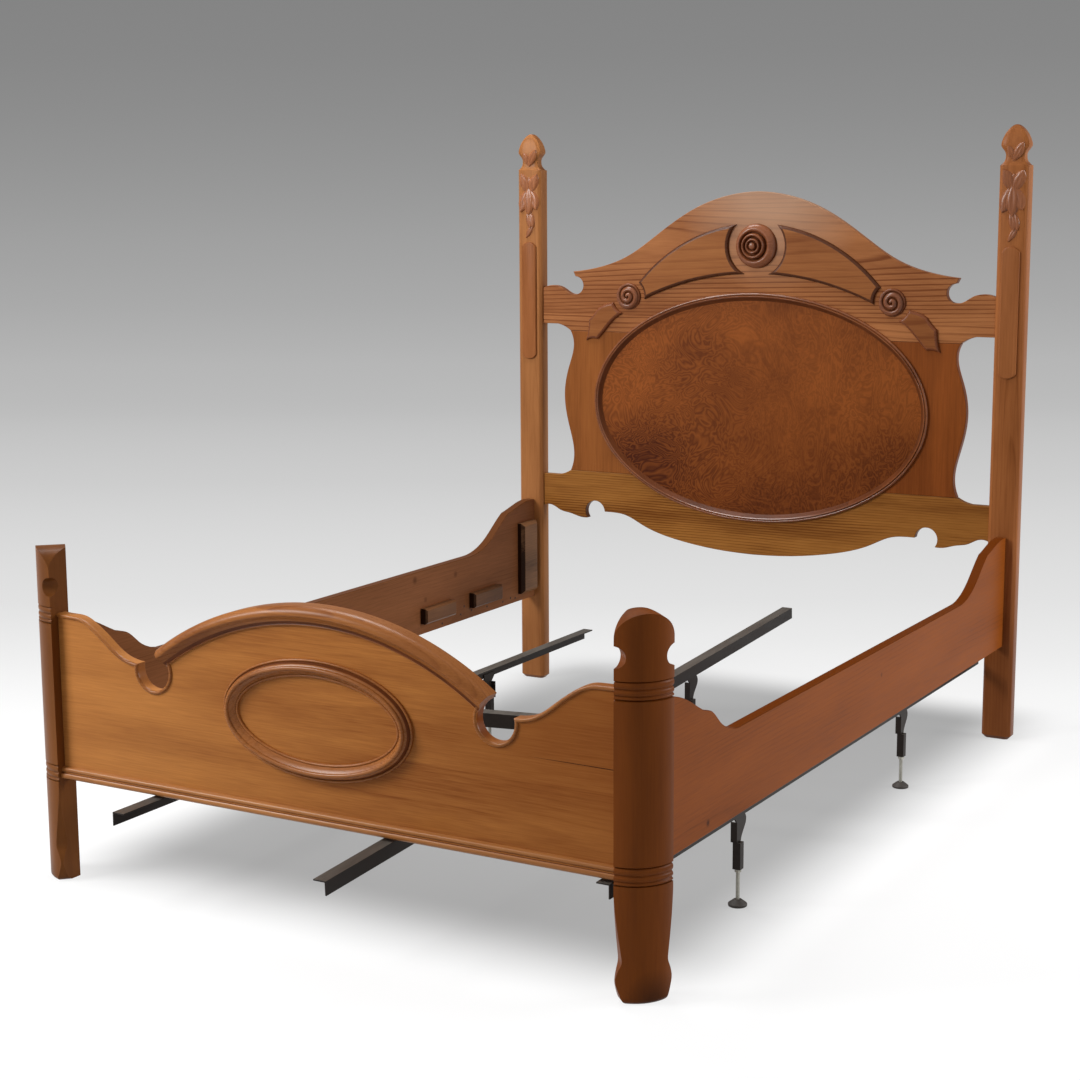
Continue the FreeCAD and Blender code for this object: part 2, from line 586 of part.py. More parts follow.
# Crest rail: arch, sharp ears, hooked cuts and a hump against each post
opening = oval_cutter(OVAL_A, OVAL_B, OVAL_Z, BOARD_Y - OVERRUN, BOARD_Y + BOARD_T + OVERRUN)
crest = shared(CREST_SHARES, 0, EAR_Z, EAR_X, CREST_TOP_Z - EAR_Z)
lip = (EAR_X - EAR_LIP / 2, EAR_Z - EAR_LIP)
cut_end = (EAR_X - EAR_LIP / 2, lip[1] - 2 * HOOK_CUT_R)
hump = shared(HUMP_SHARES, cut_end[0], cut_end[1], HEAD_IN_X - cut_end[0], HUMP_TOP_Z - cut_end[1])
stile_top_x = STILE_IN_X + STILE_WAVE * STILE_FOOT_SHARE
gap_x = HEAD_IN_X - SIDE_GAP_W
crest_wire = outline(
    front(BOARD_Y), (0, CREST_JOINT_Z),
    ("line", (0, CREST_TOP_Z)),
    ("curve", *crest),
    ("line", lip),
    ("arc", (lip[0] - HOOK_CUT_R, lip[1] - HOOK_CUT_R), cut_end),
    ("curve", *hump),
    ("line", (HEAD_IN_X, CREST_END_Z), (gap_x, CREST_END_Z)),
    ("curve", ((gap_x + stile_top_x) / 2, (2 * CREST_END_Z + CREST_JOINT_Z) / 3),
     (stile_top_x, CREST_JOINT_Z)),
    ("line", (0, CREST_JOINT_Z)))
save("crest_rail", whole(board(crest_wire, ALONG, BOARD_T)).cut(opening))

# Stiles: waved outside, hollowed to the oval inside
stile_h = CREST_JOINT_Z - LOWER_JOINT_Z
waves = shared(STILE_SHARES, STILE_IN_X, LOWER_JOINT_Z, STILE_WAVE, stile_h)
joint_reach = max(CREST_JOINT_Z - OVAL_Z, OVAL_Z - LOWER_JOINT_Z) / OVAL_B
stile_x = OVAL_A * math.sqrt(1 - joint_reach ** 2) - OVERRUN
stile_wire = outline(
    front(BOARD_Y), (stile_top_x, CREST_JOINT_Z),
    ("curve", *waves),
    ("line", (stile_x, LOWER_JOINT_Z), (stile_x, CREST_JOINT_Z), (stile_top_x, CREST_JOINT_Z)))
stile = board(stile_wire, ALONG, BOARD_T).cut(opening)
save("head_stile_right", stile)
save("head_stile_left", mirrored(stile))

# Lower rail: a swag in the middle, a round cut and a stepped end each side
tip_z = LOWER_END_Z - LOWER_TIP_DROP
steps = shared(LOWER_STEP_SHARES, HEAD_IN_X, LOWER_END_Z, LOWER_TIP_X - HEAD_IN_X, -LOWER_TIP_DROP)
cut_z = tip_z + LOWER_TIP_DROP * 4 / 5
swag = shared(LOWER_SWAG_SHARES, 0, LOWER_BOTTOM_Z, LOWER_CUT_X, cut_z - LOWER_BOTTOM_Z)
lower_wire = outline(
    front(BOARD_Y), (0, LOWER_JOINT_Z),
    ("line", (stile_top_x, LOWER_JOINT_Z)),
    ("curve", ((gap_x + stile_top_x) / 2, (2 * LOWER_END_TOP_Z + LOWER_JOINT_Z) / 3),
     (gap_x, LOWER_END_TOP_Z)),
    ("line", (HEAD_IN_X, LOWER_END_TOP_Z), (HEAD_IN_X, LOWER_END_Z)),
    ("curve", *steps),
    ("arc", ((LOWER_TIP_X + 2 * LOWER_CUT_X) / 3 + EAR_LIP, tip_z + LOWER_CUT_RISE), (LOWER_CUT_X, cut_z)),
    ("curve", *swag),
    ("line", (0, LOWER_JOINT_Z)))
save("head_lower_rail", whole(board(lower_wire, ALONG, BOARD_T)).cut(opening))

# Burl panel set back in the oval, and the ring that covers its edge
burl_y = BOARD_Y + BURL_SETBACK
save("burl_panel", oval_cutter(OVAL_A - FIT_GAP, OVAL_B - FIT_GAP, OVAL_Z, burl_y, burl_y + BURL_T))
crown_out, crown_in = RING_CROWN_SHARES
ring = [(RING_OUT, 0), (RING_OUT, -RING_PROUD * RING_EDGE_SHARE), (RING_OUT * crown_out, -RING_PROUD),
        (-RING_IN * crown_in, -RING_PROUD), (-RING_IN, -RING_PROUD * RING_EDGE_SHARE),
        (-RING_IN, BURL_SETBACK), (-FIT_GAP, BURL_SETBACK), (-FIT_GAP, 0)]
save("head_oval_moulding", oval_moulding(OVAL_A, OVAL_B, OVAL_Z, BOARD_Y, ring))


def rosette(x, z, radius, thick):
    """A turned bullseye: a broad rim, a ring and a button, with grooves between."""
    half = outline(
        lambda r, d: Vector(r, -d, 0), (0, 0),
        ("line", (radius, 0), *shared(ROSETTE_SHARES, 0, 0, radius, thick), (0, 0)))
    piece = turned(half, CENTRE, ALONG)
    piece.translate(Vector(x, BOARD_Y, z))
    return piece


small_rosette = rosette(SMALL_ROSETTE_X, SMALL_ROSETTE_Z, SMALL_ROSETTE_R, SMALL_ROSETTE_T)
save("rosette_centre", rosette(0, ROSETTE_Z, ROSETTE_R, ROSETTE_T))
save("rosette_right", small_rosette)
save("rosette_left", mirrored(small_rosette))

# Wings and tails: applied bands hollowed round the rosettes
big_hole = Part.makeCylinder(ROSETTE_R + ROSETTE_CLEAR, SPAN, Vector(0, -DEPTH, ROSETTE_Z), ALONG)
small_hole = Part.makeCylinder(SMALL_ROSETTE_R + SMALL_ROSETTE_CLEAR, SPAN,
                               Vector(SMALL_ROSETTE_X, -DEPTH, SMALL_ROSETTE_Z), ALONG)


def on_arc(top_z, radius, x):
    """A point on a broad arc whose crown is over the bed's middle."""
    return (x, top_z - radius + math.sqrt(radius ** 2 - x ** 2))


def applied(wire):
    """A thin planted piece, hollowed round the rosettes."""
    return board(wire, ALONG, -ORNAMENT_T).cut(big_hole).cut(small_hole)


reach = SMALL_ROSETTE_X - SMALL_ROSETTE_CLEAR
wing_wire = outline(
    front(BOARD_Y), on_arc(WING_TOP_Z, WING_TOP_R, 0),
    ("arc", on_arc(WING_TOP_Z, WING_TOP_R, reach / 2),
     on_arc(WING_TOP_Z, WING_TOP_R, reach * WING_END_SHARE)),
    ("line", on_arc(WING_BOTTOM_Z, WING_BOTTOM_R, reach)),
    ("arc", on_arc(WING_BOTTOM_Z, WING_BOTTOM_R, reach / 2), on_arc(WING_BOTTOM_Z, WING_BOTTOM_R, 0)),
    ("line", on_arc(WING_TOP_Z, WING_TOP_R, 0)))
wing = applied(wing_wire)
save("wing_right", wing)
save("wing_left", mirrored(wing))

tail_w = TAIL_REACH_X - SMALL_ROSETTE_X
tail_h = SMALL_ROSETTE_Z - TAIL_TIP_Z
upper, lip_in, edge, heel, lower = [
    shared(s, SMALL_ROSETTE_X, TAIL_TIP_Z, tail_w, tail_h)
    for s in (TAIL_UPPER_SHARES, TAIL_STEP_SHARES, TAIL_EDGE_SHARES, TAIL_HEEL_SHARES, TAIL_LOWER_SHARES)]
tail_wire = outline(
    front(BOARD_Y), (SMALL_ROSETTE_X, SMALL_ROSETTE_Z),
    ("curve", *upper, lip_in[0]),
    ("curve", lip_in[1], edge[0]),
    ("curve", *edge[1:]),
    ("curve", *heel),
    ("curve", *lower),
    ("line", (SMALL_ROSETTE_X, SMALL_ROSETTE_Z)))
tail = applied(tail_wire)
save("tail_right", tail)
save("tail_left", mirrored(tail))


# Under-frame: two level irons and a centre iron that climbs towards the head
def angle_iron(x, inward, y, top_z, length, width):
    """An angle iron along the bed: a leg at x and a flange on top, towards the middle."""
    flange = sorted((x, x + inward * width))
    leg = sorted((x, x + inward * ANGLE_T))
    top = box(flange[0], flange[1], y, y + length, top_z - ANGLE_T, top_z)
    return top.fuse(box(leg[0], leg[1], y, y + length, top_z - width, top_z)).removeSplitter()


left_iron = angle_iron(LEFT_IRON_X, 1, FOOT_Y - LEFT_IRON_FRONT, IRON_TOP_Z, LEFT_IRON_L, ANGLE_W)
right_iron = angle_iron(RIGHT_IRON_X, -1, FOOT_Y - RIGHT_IRON_FRONT, IRON_TOP_Z, RIGHT_IRON_L, ANGLE_W)
climb = math.asin((CENTRE_IRON_REAR_Z - CENTRE_IRON_FRONT_Z) / CENTRE_IRON_L)
nose = Vector(CENTRE_IRON_X, FOOT_Y - CENTRE_IRON_FRONT, CENTRE_IRON_FRONT_Z)
centre_iron = angle_iron(CENTRE_IRON_X, -1, nose.y, nose.z, CENTRE_IRON_L, ANGLE_W)
centre_iron.rotate(nose, ACROSS, math.degrees(climb))


def centre_top(y):
    """Height of the centre iron's top over a place along the bed."""
    return nose.z + (y - nose.y) * math.tan(climb)


# Cross bar under the side irons' flanges, riveted at both ends, and the spacer under the centre iron
bar_top = IRON_TOP_Z - ANGLE_T
left_pivot = Vector(LEFT_IRON_X + ANGLE_W / 2, FOOT_Y + BAR_LEFT_Y, bar_top)
right_pivot = Vector(RIGHT_IRON_X - ANGLE_W / 2, FOOT_Y + BAR_RIGHT_Y, bar_top)
bar_run = right_pivot - left_pivot
bar_turn = math.atan2(bar_run.y, bar_run.x)
bar_half = BAR_W / 2
bar_end = bar_run.Length - TONGUE_R / 2
cross_bar = box(TONGUE_R / 2, bar_end, -bar_half, bar_half, -ANGLE_T, 0)
cross_bar = cross_bar.fuse(box(TONGUE_R / 2, bar_end, -bar_half, ANGLE_T - bar_half, -BAR_W, 0))
rivets = []
for along in (0, bar_run.Length):
    cross_bar = cross_bar.fuse(Part.makeCylinder(TONGUE_R, ANGLE_T, Vector(along, 0, -ANGLE_T)))
cross_bar = cross_bar.removeSplitter()
cross_bar.rotate(CENTRE, UP, math.degrees(bar_turn))
cross_bar.translate(left_pivot)
for pivot in (left_pivot, right_pivot):
    hole = Part.makeCylinder(RIVET_R + FIT_GAP, 2 * BAR_W, pivot - UP * BAR_W)
    cross_bar = cross_bar.cut(hole)
    left_iron = left_iron.cut(hole)
    right_iron = right_iron.cut(hole)
    low = pivot - UP * ANGLE_T
    rivet = Part.makeCylinder(RIVET_R, 2 * ANGLE_T, low)
    rivets.append(rivet.fuse(Part.makeCylinder(RIVET_HEAD_R, RIVET_HEAD_H, low - UP * RIVET_HEAD_H)))
save("iron_left", left_iron)
save("iron_right", right_iron)
save("iron_centre", centre_iron)
save("cross_bar", cross_bar)
save("bar_rivets", *rivets)
spacer_x = CENTRE_IRON_X - (ANGLE_W + ANGLE_T) / 2
spacer_y = left_pivot.y + (spacer_x - left_pivot.x) * math.tan(bar_turn)
spacer = Part.makeCylinder(SPACER_R, centre_top(spacer_y) - bar_top, Vector(spacer_x, spacer_y, bar_top))
flange_space = box(spacer_x - SPACER_R * 2, spacer_x + SPACER_R * 2, nose.y, nose.y + CENTRE_IRON_L,
                   nose.z - ANGLE_T, nose.z + BAR_W)
flange_space.rotate(nose, ACROSS, math.degrees(climb))
save("centre_spacer", spacer.cut(flange_space))

# Levelling legs: a stamped bracket, a tube, a lock nut, a threaded stem and a glide
sets = {}
legs = (
    ("left_rear", LEFT_IRON_X + ANGLE_T, 1, LEFT_LEG_REAR_Y),
    ("left_front", LEFT_IRON_X + ANGLE_T, 1, LEFT_LEG_FRONT_Y),
    ("centre_rear", CENTRE_IRON_X - ANGLE_T, -1, CENTRE_LEG_REAR_Y),
    ("centre_front", CENTRE_IRON_X - ANGLE_T, -1, CENTRE_LEG_FRONT_Y),
    ("right_rear", RIGHT_IRON_X - ANGLE_T, -1, RIGHT_LEG_REAR_Y),
    ("right_front", RIGHT_IRON_X - ANGLE_T, -1, RIGHT_LEG_FRONT_Y))
for name, face_x, inward, leg_y in legs:
    y = FOOT_Y + leg_y
    iron_top = centre_top(y) if name.startswith("centre") else IRON_TOP_Z
    toward = -1 if name.startswith("left") else 1
    under_z = iron_top - ANGLE_W
    foot_z = under_z - BRACKET_H
    lap_z = under_z + BRACKET_LAP / 2
    neck_half = BRACKET_NECK / 2
    flare_u = -neck_half - BRACKET_FLARE
    flare_z = under_z - BRACKET_FLARE
    lap_u = neck_half + BRACKET_BULGE * math.sqrt(0.5)
    bulge = shared(BRACKET_SHARES, neck_half, under_z, BRACKET_BULGE, -BRACKET_H)
    bracket_wire = outline(
        lambda u, w: Vector(face_x, y + toward * u, w), (-neck_half, foot_z),
        ("line", (-neck_half, flare_z), (flare_u, under_z), (flare_u, lap_z), (lap_u, lap_z),
         (lap_u, under_z)),
        ("curve", *bulge, (neck_half, foot_z)),
        ("line", (-neck_half, foot_z)))
    bracket = board(bracket_wire, ACROSS, inward * BRACKET_T)
    rib_x = sorted((face_x, face_x + inward * BRACKET_FLANGE))
    rib_y = sorted((y - toward * neck_half, y - toward * (neck_half - BRACKET_T)))
    bracket = bracket.fuse(box(*rib_x, *rib_y, foot_z, flare_z)).removeSplitter()
    axis_x = face_x + inward * BRACKET_T / 2
    base = Vector(axis_x, y, SLEEVE_BOTTOM_Z)
    bore_r = STEM_R + STEM_PLAY
    bore = Part.makeCylinder(bore_r, NUT_H + 2 * OVERRUN, base - UP * (NUT_H + OVERRUN))
    tube = box(axis_x - SLEEVE_R, axis_x + SLEEVE_R, y - SLEEVE_R, y + SLEEVE_R, SLEEVE_BOTTOM_Z, foot_z)
    sleeve = tube.cut(box(axis_x - bore_r, axis_x + bore_r, y - bore_r, y + bore_r, SLEEVE_BOTTOM_Z, foot_z))
    hexagon = Part.makePolygon([base + Vector(NUT_R * math.cos(math.radians(60 * k)),
                                              NUT_R * math.sin(math.radians(60 * k)), 0) for k in range(7)])
    nut = board(hexagon, UP, -NUT_H).cut(bore)
    iron = name.split("_")[0]
    for kind, piece in (("leg_brackets_", bracket), ("leg_sleeves_", sleeve), ("lock_nuts_", nut)):
        sets.setdefault(kind + iron, []).append(piece)
    stem_top = IRON_TOP_Z - ANGLE_W - BRACKET_H - STEM_TRAVEL - FIT_GAP
    stem = Part.makeCylinder(STEM_R, stem_top - GLIDE_H, Vector(axis_x, y, GLIDE_H))
    glide_wire = outline(
        front(0), (0, 0),
        ("line", (GLIDE_R - FIT_GAP, 0), (GLIDE_R, GLIDE_RIM_H), (GLIDE_NECK_R, GLIDE_H), (0, GLIDE_H),
         (0, 0)))
    glide = turned(glide_wire, CENTRE, UP)
    glide.translate(Vector(axis_x, y, 0))
    save("stem_" + name, stem)
    save("glide_" + name, glide)
for name, pieces in sets.items():
    save(name, *pieces)
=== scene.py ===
"""A carved pine double bed with a steel under-frame: its finishes, carving and mouldings."""
import math

import bmesh
import bpy
from mathutils import Matrix, Vector
from mathutils.geometry import delaunay_2d_cdt
from mathutils.kdtree import KDTree


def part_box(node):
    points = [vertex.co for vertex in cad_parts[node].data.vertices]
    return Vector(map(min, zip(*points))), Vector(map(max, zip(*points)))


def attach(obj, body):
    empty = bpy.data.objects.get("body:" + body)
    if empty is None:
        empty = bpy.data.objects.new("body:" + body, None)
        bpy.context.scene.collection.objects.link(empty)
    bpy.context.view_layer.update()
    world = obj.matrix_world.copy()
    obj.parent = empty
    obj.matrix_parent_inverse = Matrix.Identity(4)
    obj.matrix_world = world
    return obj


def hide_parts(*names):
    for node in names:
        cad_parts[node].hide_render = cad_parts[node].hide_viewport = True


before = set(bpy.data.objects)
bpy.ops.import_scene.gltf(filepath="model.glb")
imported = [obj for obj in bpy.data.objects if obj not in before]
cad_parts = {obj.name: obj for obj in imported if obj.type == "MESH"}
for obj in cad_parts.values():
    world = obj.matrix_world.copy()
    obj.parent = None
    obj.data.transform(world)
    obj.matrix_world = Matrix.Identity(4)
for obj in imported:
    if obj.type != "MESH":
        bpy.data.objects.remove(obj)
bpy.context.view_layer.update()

# Head posts
# Tall pine planks with chamfered front edges and an arrowhead finial sawn and carved on top,
# varnished as one with the headboard. Grain runs up the post; use has eased every arris.


def tint(code):
    """An sRGB hex colour as linear light."""
    parts = [int(code[i:i + 2], 16) / 255 for i in (1, 3, 5)]
    return tuple(p / 12.92 if p <= 0.04045 else ((p + 0.055) / 1.055) ** 2.4 for p in parts) + (1.0,)


def feed(tree, node, feeds):
    """Sets a node's sockets: outputs of other nodes are linked, plain values are written."""
    for key, value in feeds.items():
        if isinstance(value, bpy.types.NodeSocket):
            tree.links.new(value, node.inputs[key])
        else:
            node.inputs[key].default_value = value


def add(tree, kind, feeds=None, out=0, **settings):
    """One shader node with its settings and feeds; gives the output that is asked for."""
    node = tree.nodes.new("ShaderNode" + kind)
    for key, value in settings.items():
        setattr(node, key, value)
    feed(tree, node, feeds or {})
    return node.outputs[out]


def finish_of(name):
    """A new finish, its node tree, its surface shader and the spot on the object."""
    finish = bpy.data.materials.new(name)
    finish.use_nodes = True
    tree = finish.node_tree
    return finish, tree, tree.nodes["Principled BSDF"], add(tree, "TexCoord", out="Object")


GRAIN_TURN = {"X": (0, 0, 0), "Y": (0, 0, math.radians(-90)), "Z": (0, math.radians(90), 0)}
# A wave pattern repeats every 314.16 mm at a scale of 1.
WAVE_MM = 314.16
# Colour sockets of a Mix node: the share, the two colours, and what makes it blend them.
SHARE, FIRST, SECOND = 0, 6, 7
COLOURS = {"out": 2, "data_type": "RGBA"}


def varnished_pine(name, along, pale, dark, face_mm, figure=0.3, ring_mm=7.0, board_mm=190.0,
                   pith_mm=28.0, lean_deg=0.7, start=0.0, shine=0.09, ends=0.6, above=0.0,
                   patchy=1.0, fibrous=0.7, marks=()):
    """Plain-sawn pine under satin varnish: thin latewood lines that come and go, slow patches,
    fine fibres, darker end grain, faces turned up painted darker as painted shade if asked, then
    marks such as knots, dirt, painted shade and painted highlights. A mark is its place, size in mm,
    colour and strength."""
    wood, tree, skin, spot = finish_of(name)
    pith = (start, (pith_mm - face_mm) / 1000, start / 3)
    lain = add(tree, "Mapping", {"Vector": spot, "Rotation": GRAIN_TURN[along], "Location": pith})
    axes = add(tree, "SeparateXYZ", {0: lain}).node.outputs
    # Boards lie side by side, each from another length of the tree.
    board_m = board_mm / 1000
    shift_m = 1.37
    board = add(tree, "Math", {0: axes["Z"], 1: board_m}, operation="DIVIDE")
    count = add(tree, "Math", {0: board}, operation="FLOOR")
    part = add(tree, "Math", {0: board}, operation="FRACT")
    across = add(tree, "Math", {0: part, 1: board_m, 2: board_m / -2}, operation="MULTIPLY_ADD")
    shifted = add(tree, "Math", {0: count, 1: shift_m, 2: axes["X"]}, operation="MULTIPLY_ADD")
    sawn = add(tree, "CombineXYZ", {"X": shifted, "Y": axes["Y"], "Z": across})
    # Rings lie round the pith, a little out of line with the board. Over some 1100 mm along the
    # grain and 170 mm across it they sway by up to 30 mm.
    turn = (0, math.radians(lean_deg), math.radians(lean_deg * 1.4))
    tipped = add(tree, "Mapping", {"Vector": sawn, "Rotation": turn})
    slow = add(tree, "Mapping", {"Vector": sawn, "Scale": (0.9, 6.0, 6.0)})
    sway = add(tree, "TexNoise", {"Vector": slow, "Scale": 1.0, "Detail": 2.0}, "Fac")
    push = add(tree, "VectorMath", {0: sway.node.outputs["Color"], 1: (0.0, 0.03, 0.03), 2: tipped},
               operation="MULTIPLY_ADD")
    rings = add(tree, "TexWave", {"Vector": push, "Scale": WAVE_MM / ring_mm, "Distortion": 0.0}, "Fac",
                wave_type="RINGS", rings_direction="X", wave_profile="SAW")
    latewood = add(tree, "ValToRGB", {"Fac": rings})
    ramp = latewood.node.color_ramp
    ramp.elements[0].color, ramp.elements[1].color = (0, 0, 0, 1), (0, 0, 0, 1)
    for place, level in ((0.64, 0.05), (0.88, 1.0), (0.95, 0.7)):
        ramp.elements.new(place).color = (level, level, level, 1)
    # Fibres are about 0.04 mm wide in the wood; they are drawn near 2 mm so that they show.
    drawn = add(tree, "Mapping", {"Vector": sawn, "Scale": (14.0, 380.0, 380.0)})
    fibre = add(tree, "TexNoise", {"Vector": drawn, "Scale": 1.0, "Detail": 3.0, "Roughness": 0.6}, "Fac")
    patch = add(tree, "TexNoise", {"Vector": slow, "Scale": 2.2, "Detail": 3.0}, "Fac")
    cloud = add(tree, "MapRange", {"Value": patch, "From Min": 0.3, "From Max": 0.7,
                                   "To Min": 0.05 - patchy * 0.3, "To Max": 0.05 + patchy * 0.3})
    mixed = add(tree, "Math", {0: fibre, 1: fibrous, 2: cloud}, operation="MULTIPLY_ADD")
    bold = add(tree, "MapRange", {"Value": sway, "From Min": 0.38, "From Max": 0.62,
                                  "To Min": figure * 0.5, "To Max": figure * 2.0})
    lined = add(tree, "Math", {0: latewood, 1: bold, 2: mixed}, operation="MULTIPLY_ADD")
    # End grain drinks more stain, and faces turned up may be painted darker as painted shade.
    facing = add(tree, "SeparateXYZ", {0: add(tree, "NewGeometry", out="Normal")}).node.outputs
    square = add(tree, "Math", {0: facing[along]}, operation="ABSOLUTE")
    top_shade = add(tree, "MapRange", {"Value": facing["Z"], "From Min": 0.3, "From Max": 0.6,
                                     "To Max": above})
    thirsty = add(tree, "MapRange", {"Value": square, "From Min": 0.4, "From Max": 0.9, "To Max": ends})
    end_grain_and_top_shade = add(tree, "Math", {0: thirsty, 1: top_shade}, operation="ADD")
    tone = add(tree, "Math", {0: lined, 1: end_grain_and_top_shade}, operation="ADD")
    stain = add(tree, "Mix", {SHARE: tone, FIRST: tint(pale), SECOND: tint(dark)}, **COLOURS)
    for place, mark_mm, colour, strength in marks:
        away = add(tree, "VectorMath", {0: spot, 1: place}, "Value", operation="DISTANCE")
        heart = add(tree, "MapRange", {"Value": away, "From Min": mark_mm / 2500, "From Max": mark_mm / 700,
                                       "To Min": strength, "To Max": 0.0})
        stain = add(tree, "Mix", {SHARE: heart, FIRST: stain, SECOND: tint(colour)}, **COLOURS)
    dull = 0.42 - shine * 0.4
    gloss = add(tree, "MapRange", {"Value": fibre, "From Min": 0.3, "From Max": 0.7, "To Min": dull,
                                   "To Max": dull - 0.1})
    # Latewood stands about 0.05 mm proud; the height is drawn at 0.1 mm so that light catches it.
    lift = add(tree, "Math", {0: rings, 1: figure, 2: fibre}, operation="MULTIPLY_ADD")
    relief = add(tree, "Bump", {"Height": lift, "Strength": 0.25, "Distance": 0.0001})
    feed(tree, skin, {"Base Color": stain, "Roughness": gloss, "Normal": relief,
                      "Specular IOR Level": shine})
    return wood


def meshed(name, shape, sharp_deg=None):
    """A working shape as a smooth mesh, with edges that turn by more than sharp_deg kept crisp."""
    mesh = bpy.data.meshes.new(name)
    shape.to_mesh(mesh)
    shape.free()
    mesh.shade_smooth()
    if sharp_deg:
        mesh.set_sharp_from_angle(angle=math.radians(sharp_deg))
    return mesh


def laid(name, mesh, body, slot, node, *finishes):
    """Puts a finished mesh on the bed: its finishes, the body it rides and the solid it stands for."""
    for finish in finishes:
        mesh.materials.append(finish)
    piece = bpy.data.objects.new(name, mesh)
    bpy.context.scene.collection.objects.link(piece)
    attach(piece, body)
    if node:
        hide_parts(node)
    return piece


def stack(name, loops, slot, node, finish):
    """A skin over loops of points in mm laid one above another, closed at both ends."""
    shape = bmesh.new()
    rows = [[shape.verts.new(Vector(point) / 1000) for point in loop] for loop in loops]
    for row, after in zip(rows, rows[1:]):
        for k in range(len(row)):
            n = (k + 1) % len(row)
            shape.faces.new((row[k], row[n], after[n], after[k]))
    shape.faces.new(rows[0][::-1])
    shape.faces.new(rows[-1])
    bmesh.ops.remove_doubles(shape, verts=shape.verts, dist=0.00001)
    bmesh.ops.recalc_face_normals(shape, faces=shape.faces)
    laid(name, meshed(name, shape, 34), "bed", slot, node, finish)


def eased(corners, ease):
    """A closed outline with each corner rounded by three points."""
    outline = []
    for k, corner in enumerate(corners):
        here = Vector(corner)
        back = (Vector(corners[k - 1]) - here).normalized() * ease
        on = (Vector(corners[(k + 1) % len(corners)]) - here).normalized() * ease
        outline += [here + back, here + (back + on) * 0.29, here + on]
    return outline


ARRIS = 1.8
CHAMFER = 8.0
FOOT_BEVEL = 9.0
FOOT_SHARES = Vector((0.78, 0.55))
FINIAL_Z = 1470.0
SHOULDER = 1.4
FINIAL_SIDES = 32
SQUARENESS = 0.86
HANDS = (("left", -1), ("right", 1))
post_low, post_high = (corner * 1000 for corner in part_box("head_post_right"))
post_x, post_y = ((post_low + post_high) / 2).xy
post_half, post_deep = ((post_high - post_low) / 2).xy
post_front, post_back = post_low.y, post_high.y
# Levels of the finial: height, half width, and how far the carved front dips in its middle.
finial_levels = ((1470, 37.4, 0), (1474, 33, 0), (1480, 27.5, 0), (1487, 25, 0), (1497, 24.5, 2),
                 (1504, 27, 9), (1511, 32.5, 15), (1517, 36.4, 18), (1521, 36.8, 17), (1527, 35.8, 12),
                 (1537, 32.5, 6), (1548, 27, 3), (1557, 20.5, 1), (1564, 13.5, 0), (1568, 8, 0), (1570, 3, 0))
# The left post is painted paler and the right one darker, as painted light falling off from the left; both
# are painted darker at the foot as painted shade, the right one more.
post_looks = (("#b77a48", "#855029", 160, 0.3), ("#ac6b3c", "#7a431e", 300, 0.6))
for (hand, side), (pale, dark, foot_shade_mm, foot_shade) in zip(HANDS, post_looks):
    middle = side * post_x
    post_pine = varnished_pine("varnished pine, head post " + hand, "Z", pale, dark, post_front, figure=0.14,
                               board_mm=2 * post_x,
                               marks=(((middle / 1000, 1.1, 0.08), foot_shade_mm, "#5c2d10", foot_shade),))
    left, right = middle - post_half, middle + post_half
    plank = eased([(left, post_back), (left, post_front + CHAMFER), (left + CHAMFER, post_front),
                   (right - CHAMFER, post_front), (right, post_front + CHAMFER), (right, post_back)], ARRIS)
    centre = Vector((middle, post_y))
    foot = [centre + (p - centre) * FOOT_SHARES for p in plank]
    shaft = ((foot, 0), (plank, FOOT_BEVEL), (plank, FINIAL_Z - SHOULDER), (plank, FINIAL_Z))
    stack("head_post_shaft_" + hand, [[(p.x, p.y, z) for p in loop] for loop, z in shaft],
          "varnished_wood", "head_post_" + hand, post_pine)
    loops = []
    for z, half, dip in finial_levels:
        deep = post_deep * (0.34 + 0.66 * half / post_half)
        loop = []
        for k in range(FINIAL_SIDES):
            turn = 2 * math.pi * (k + 0.5) / FINIAL_SIDES
            c, s = math.cos(turn), math.sin(turn)
            stretch = 1 / max(abs(c), abs(s)) ** SQUARENESS
            u, v = c * stretch, s * stretch
            sunk = dip * max(0.0, 1 - abs(u) * 1.25) if v < -0.5 else 0.0
            loop.append((middle + half * max(-1, min(1, u)), post_y + deep * max(-1, min(1, v)), z - sunk))
        loops.append(loop)
    stack("head_post_finial_" + hand, loops, "varnished_wood", "head_post_" + hand, post_pine)

# Pilaster strips
# Thin pine strips planted on the head posts with crowned ends and eased edges, glued and
# pinned; a little darker than the post where polish has gathered along them.
STRIP_HALF = 23.0
STRIP_FOOT, STRIP_TOP = 939.0, 1270.0
CROWN_DEG, CROWN_RISE = 62, 14.0
# How far the edge is set in and stands proud of the post; it starts inside the post.
strip_edge = ((0, -1.0), (0, 3.6), (0.5, 4.6), (1.5, 5.3), (3.0, 5.6))
strip_pine = varnished_pine("varnished pine, strip", "Z", "#a5663a", "#75401c", 1083.0, figure=0.12,
                            board_mm=2 * post_x, start=0.41)
strip_z, strip_tall = (STRIP_TOP + STRIP_FOOT) / 2, (STRIP_TOP - STRIP_FOOT) / 2
bend = math.radians(CROWN_DEG)
crown = [(STRIP_HALF * math.sin(a) / math.sin(bend), CROWN_RISE * (1 - math.cos(a)) / (1 - math.cos(bend)))
         for a in (math.radians(d) for d in range(-CROWN_DEG, CROWN_DEG + 1, 4))]
rim = [(x, STRIP_FOOT + drop) for x, drop in crown] + [(-x, STRIP_TOP - drop) for x, drop in crown]
for hand, side in HANDS:
    loops = [[(side * post_x + x * (1 - inset / STRIP_HALF), post_front - proud,
               strip_z + (z - strip_z) * (1 - inset / strip_tall)) for x, z in rim]
             for inset, proud in strip_edge]
    stack("pilaster_strip_planed_" + hand, loops, "varnished_wood", "pilaster_strip_" + hand, strip_pine)

# Husk drops
# Carved pine leaves in a falling row on each head post, cut in relief with a gouge: two on the
# finial, three splayed up, a wide bell below them and a hooked tip.


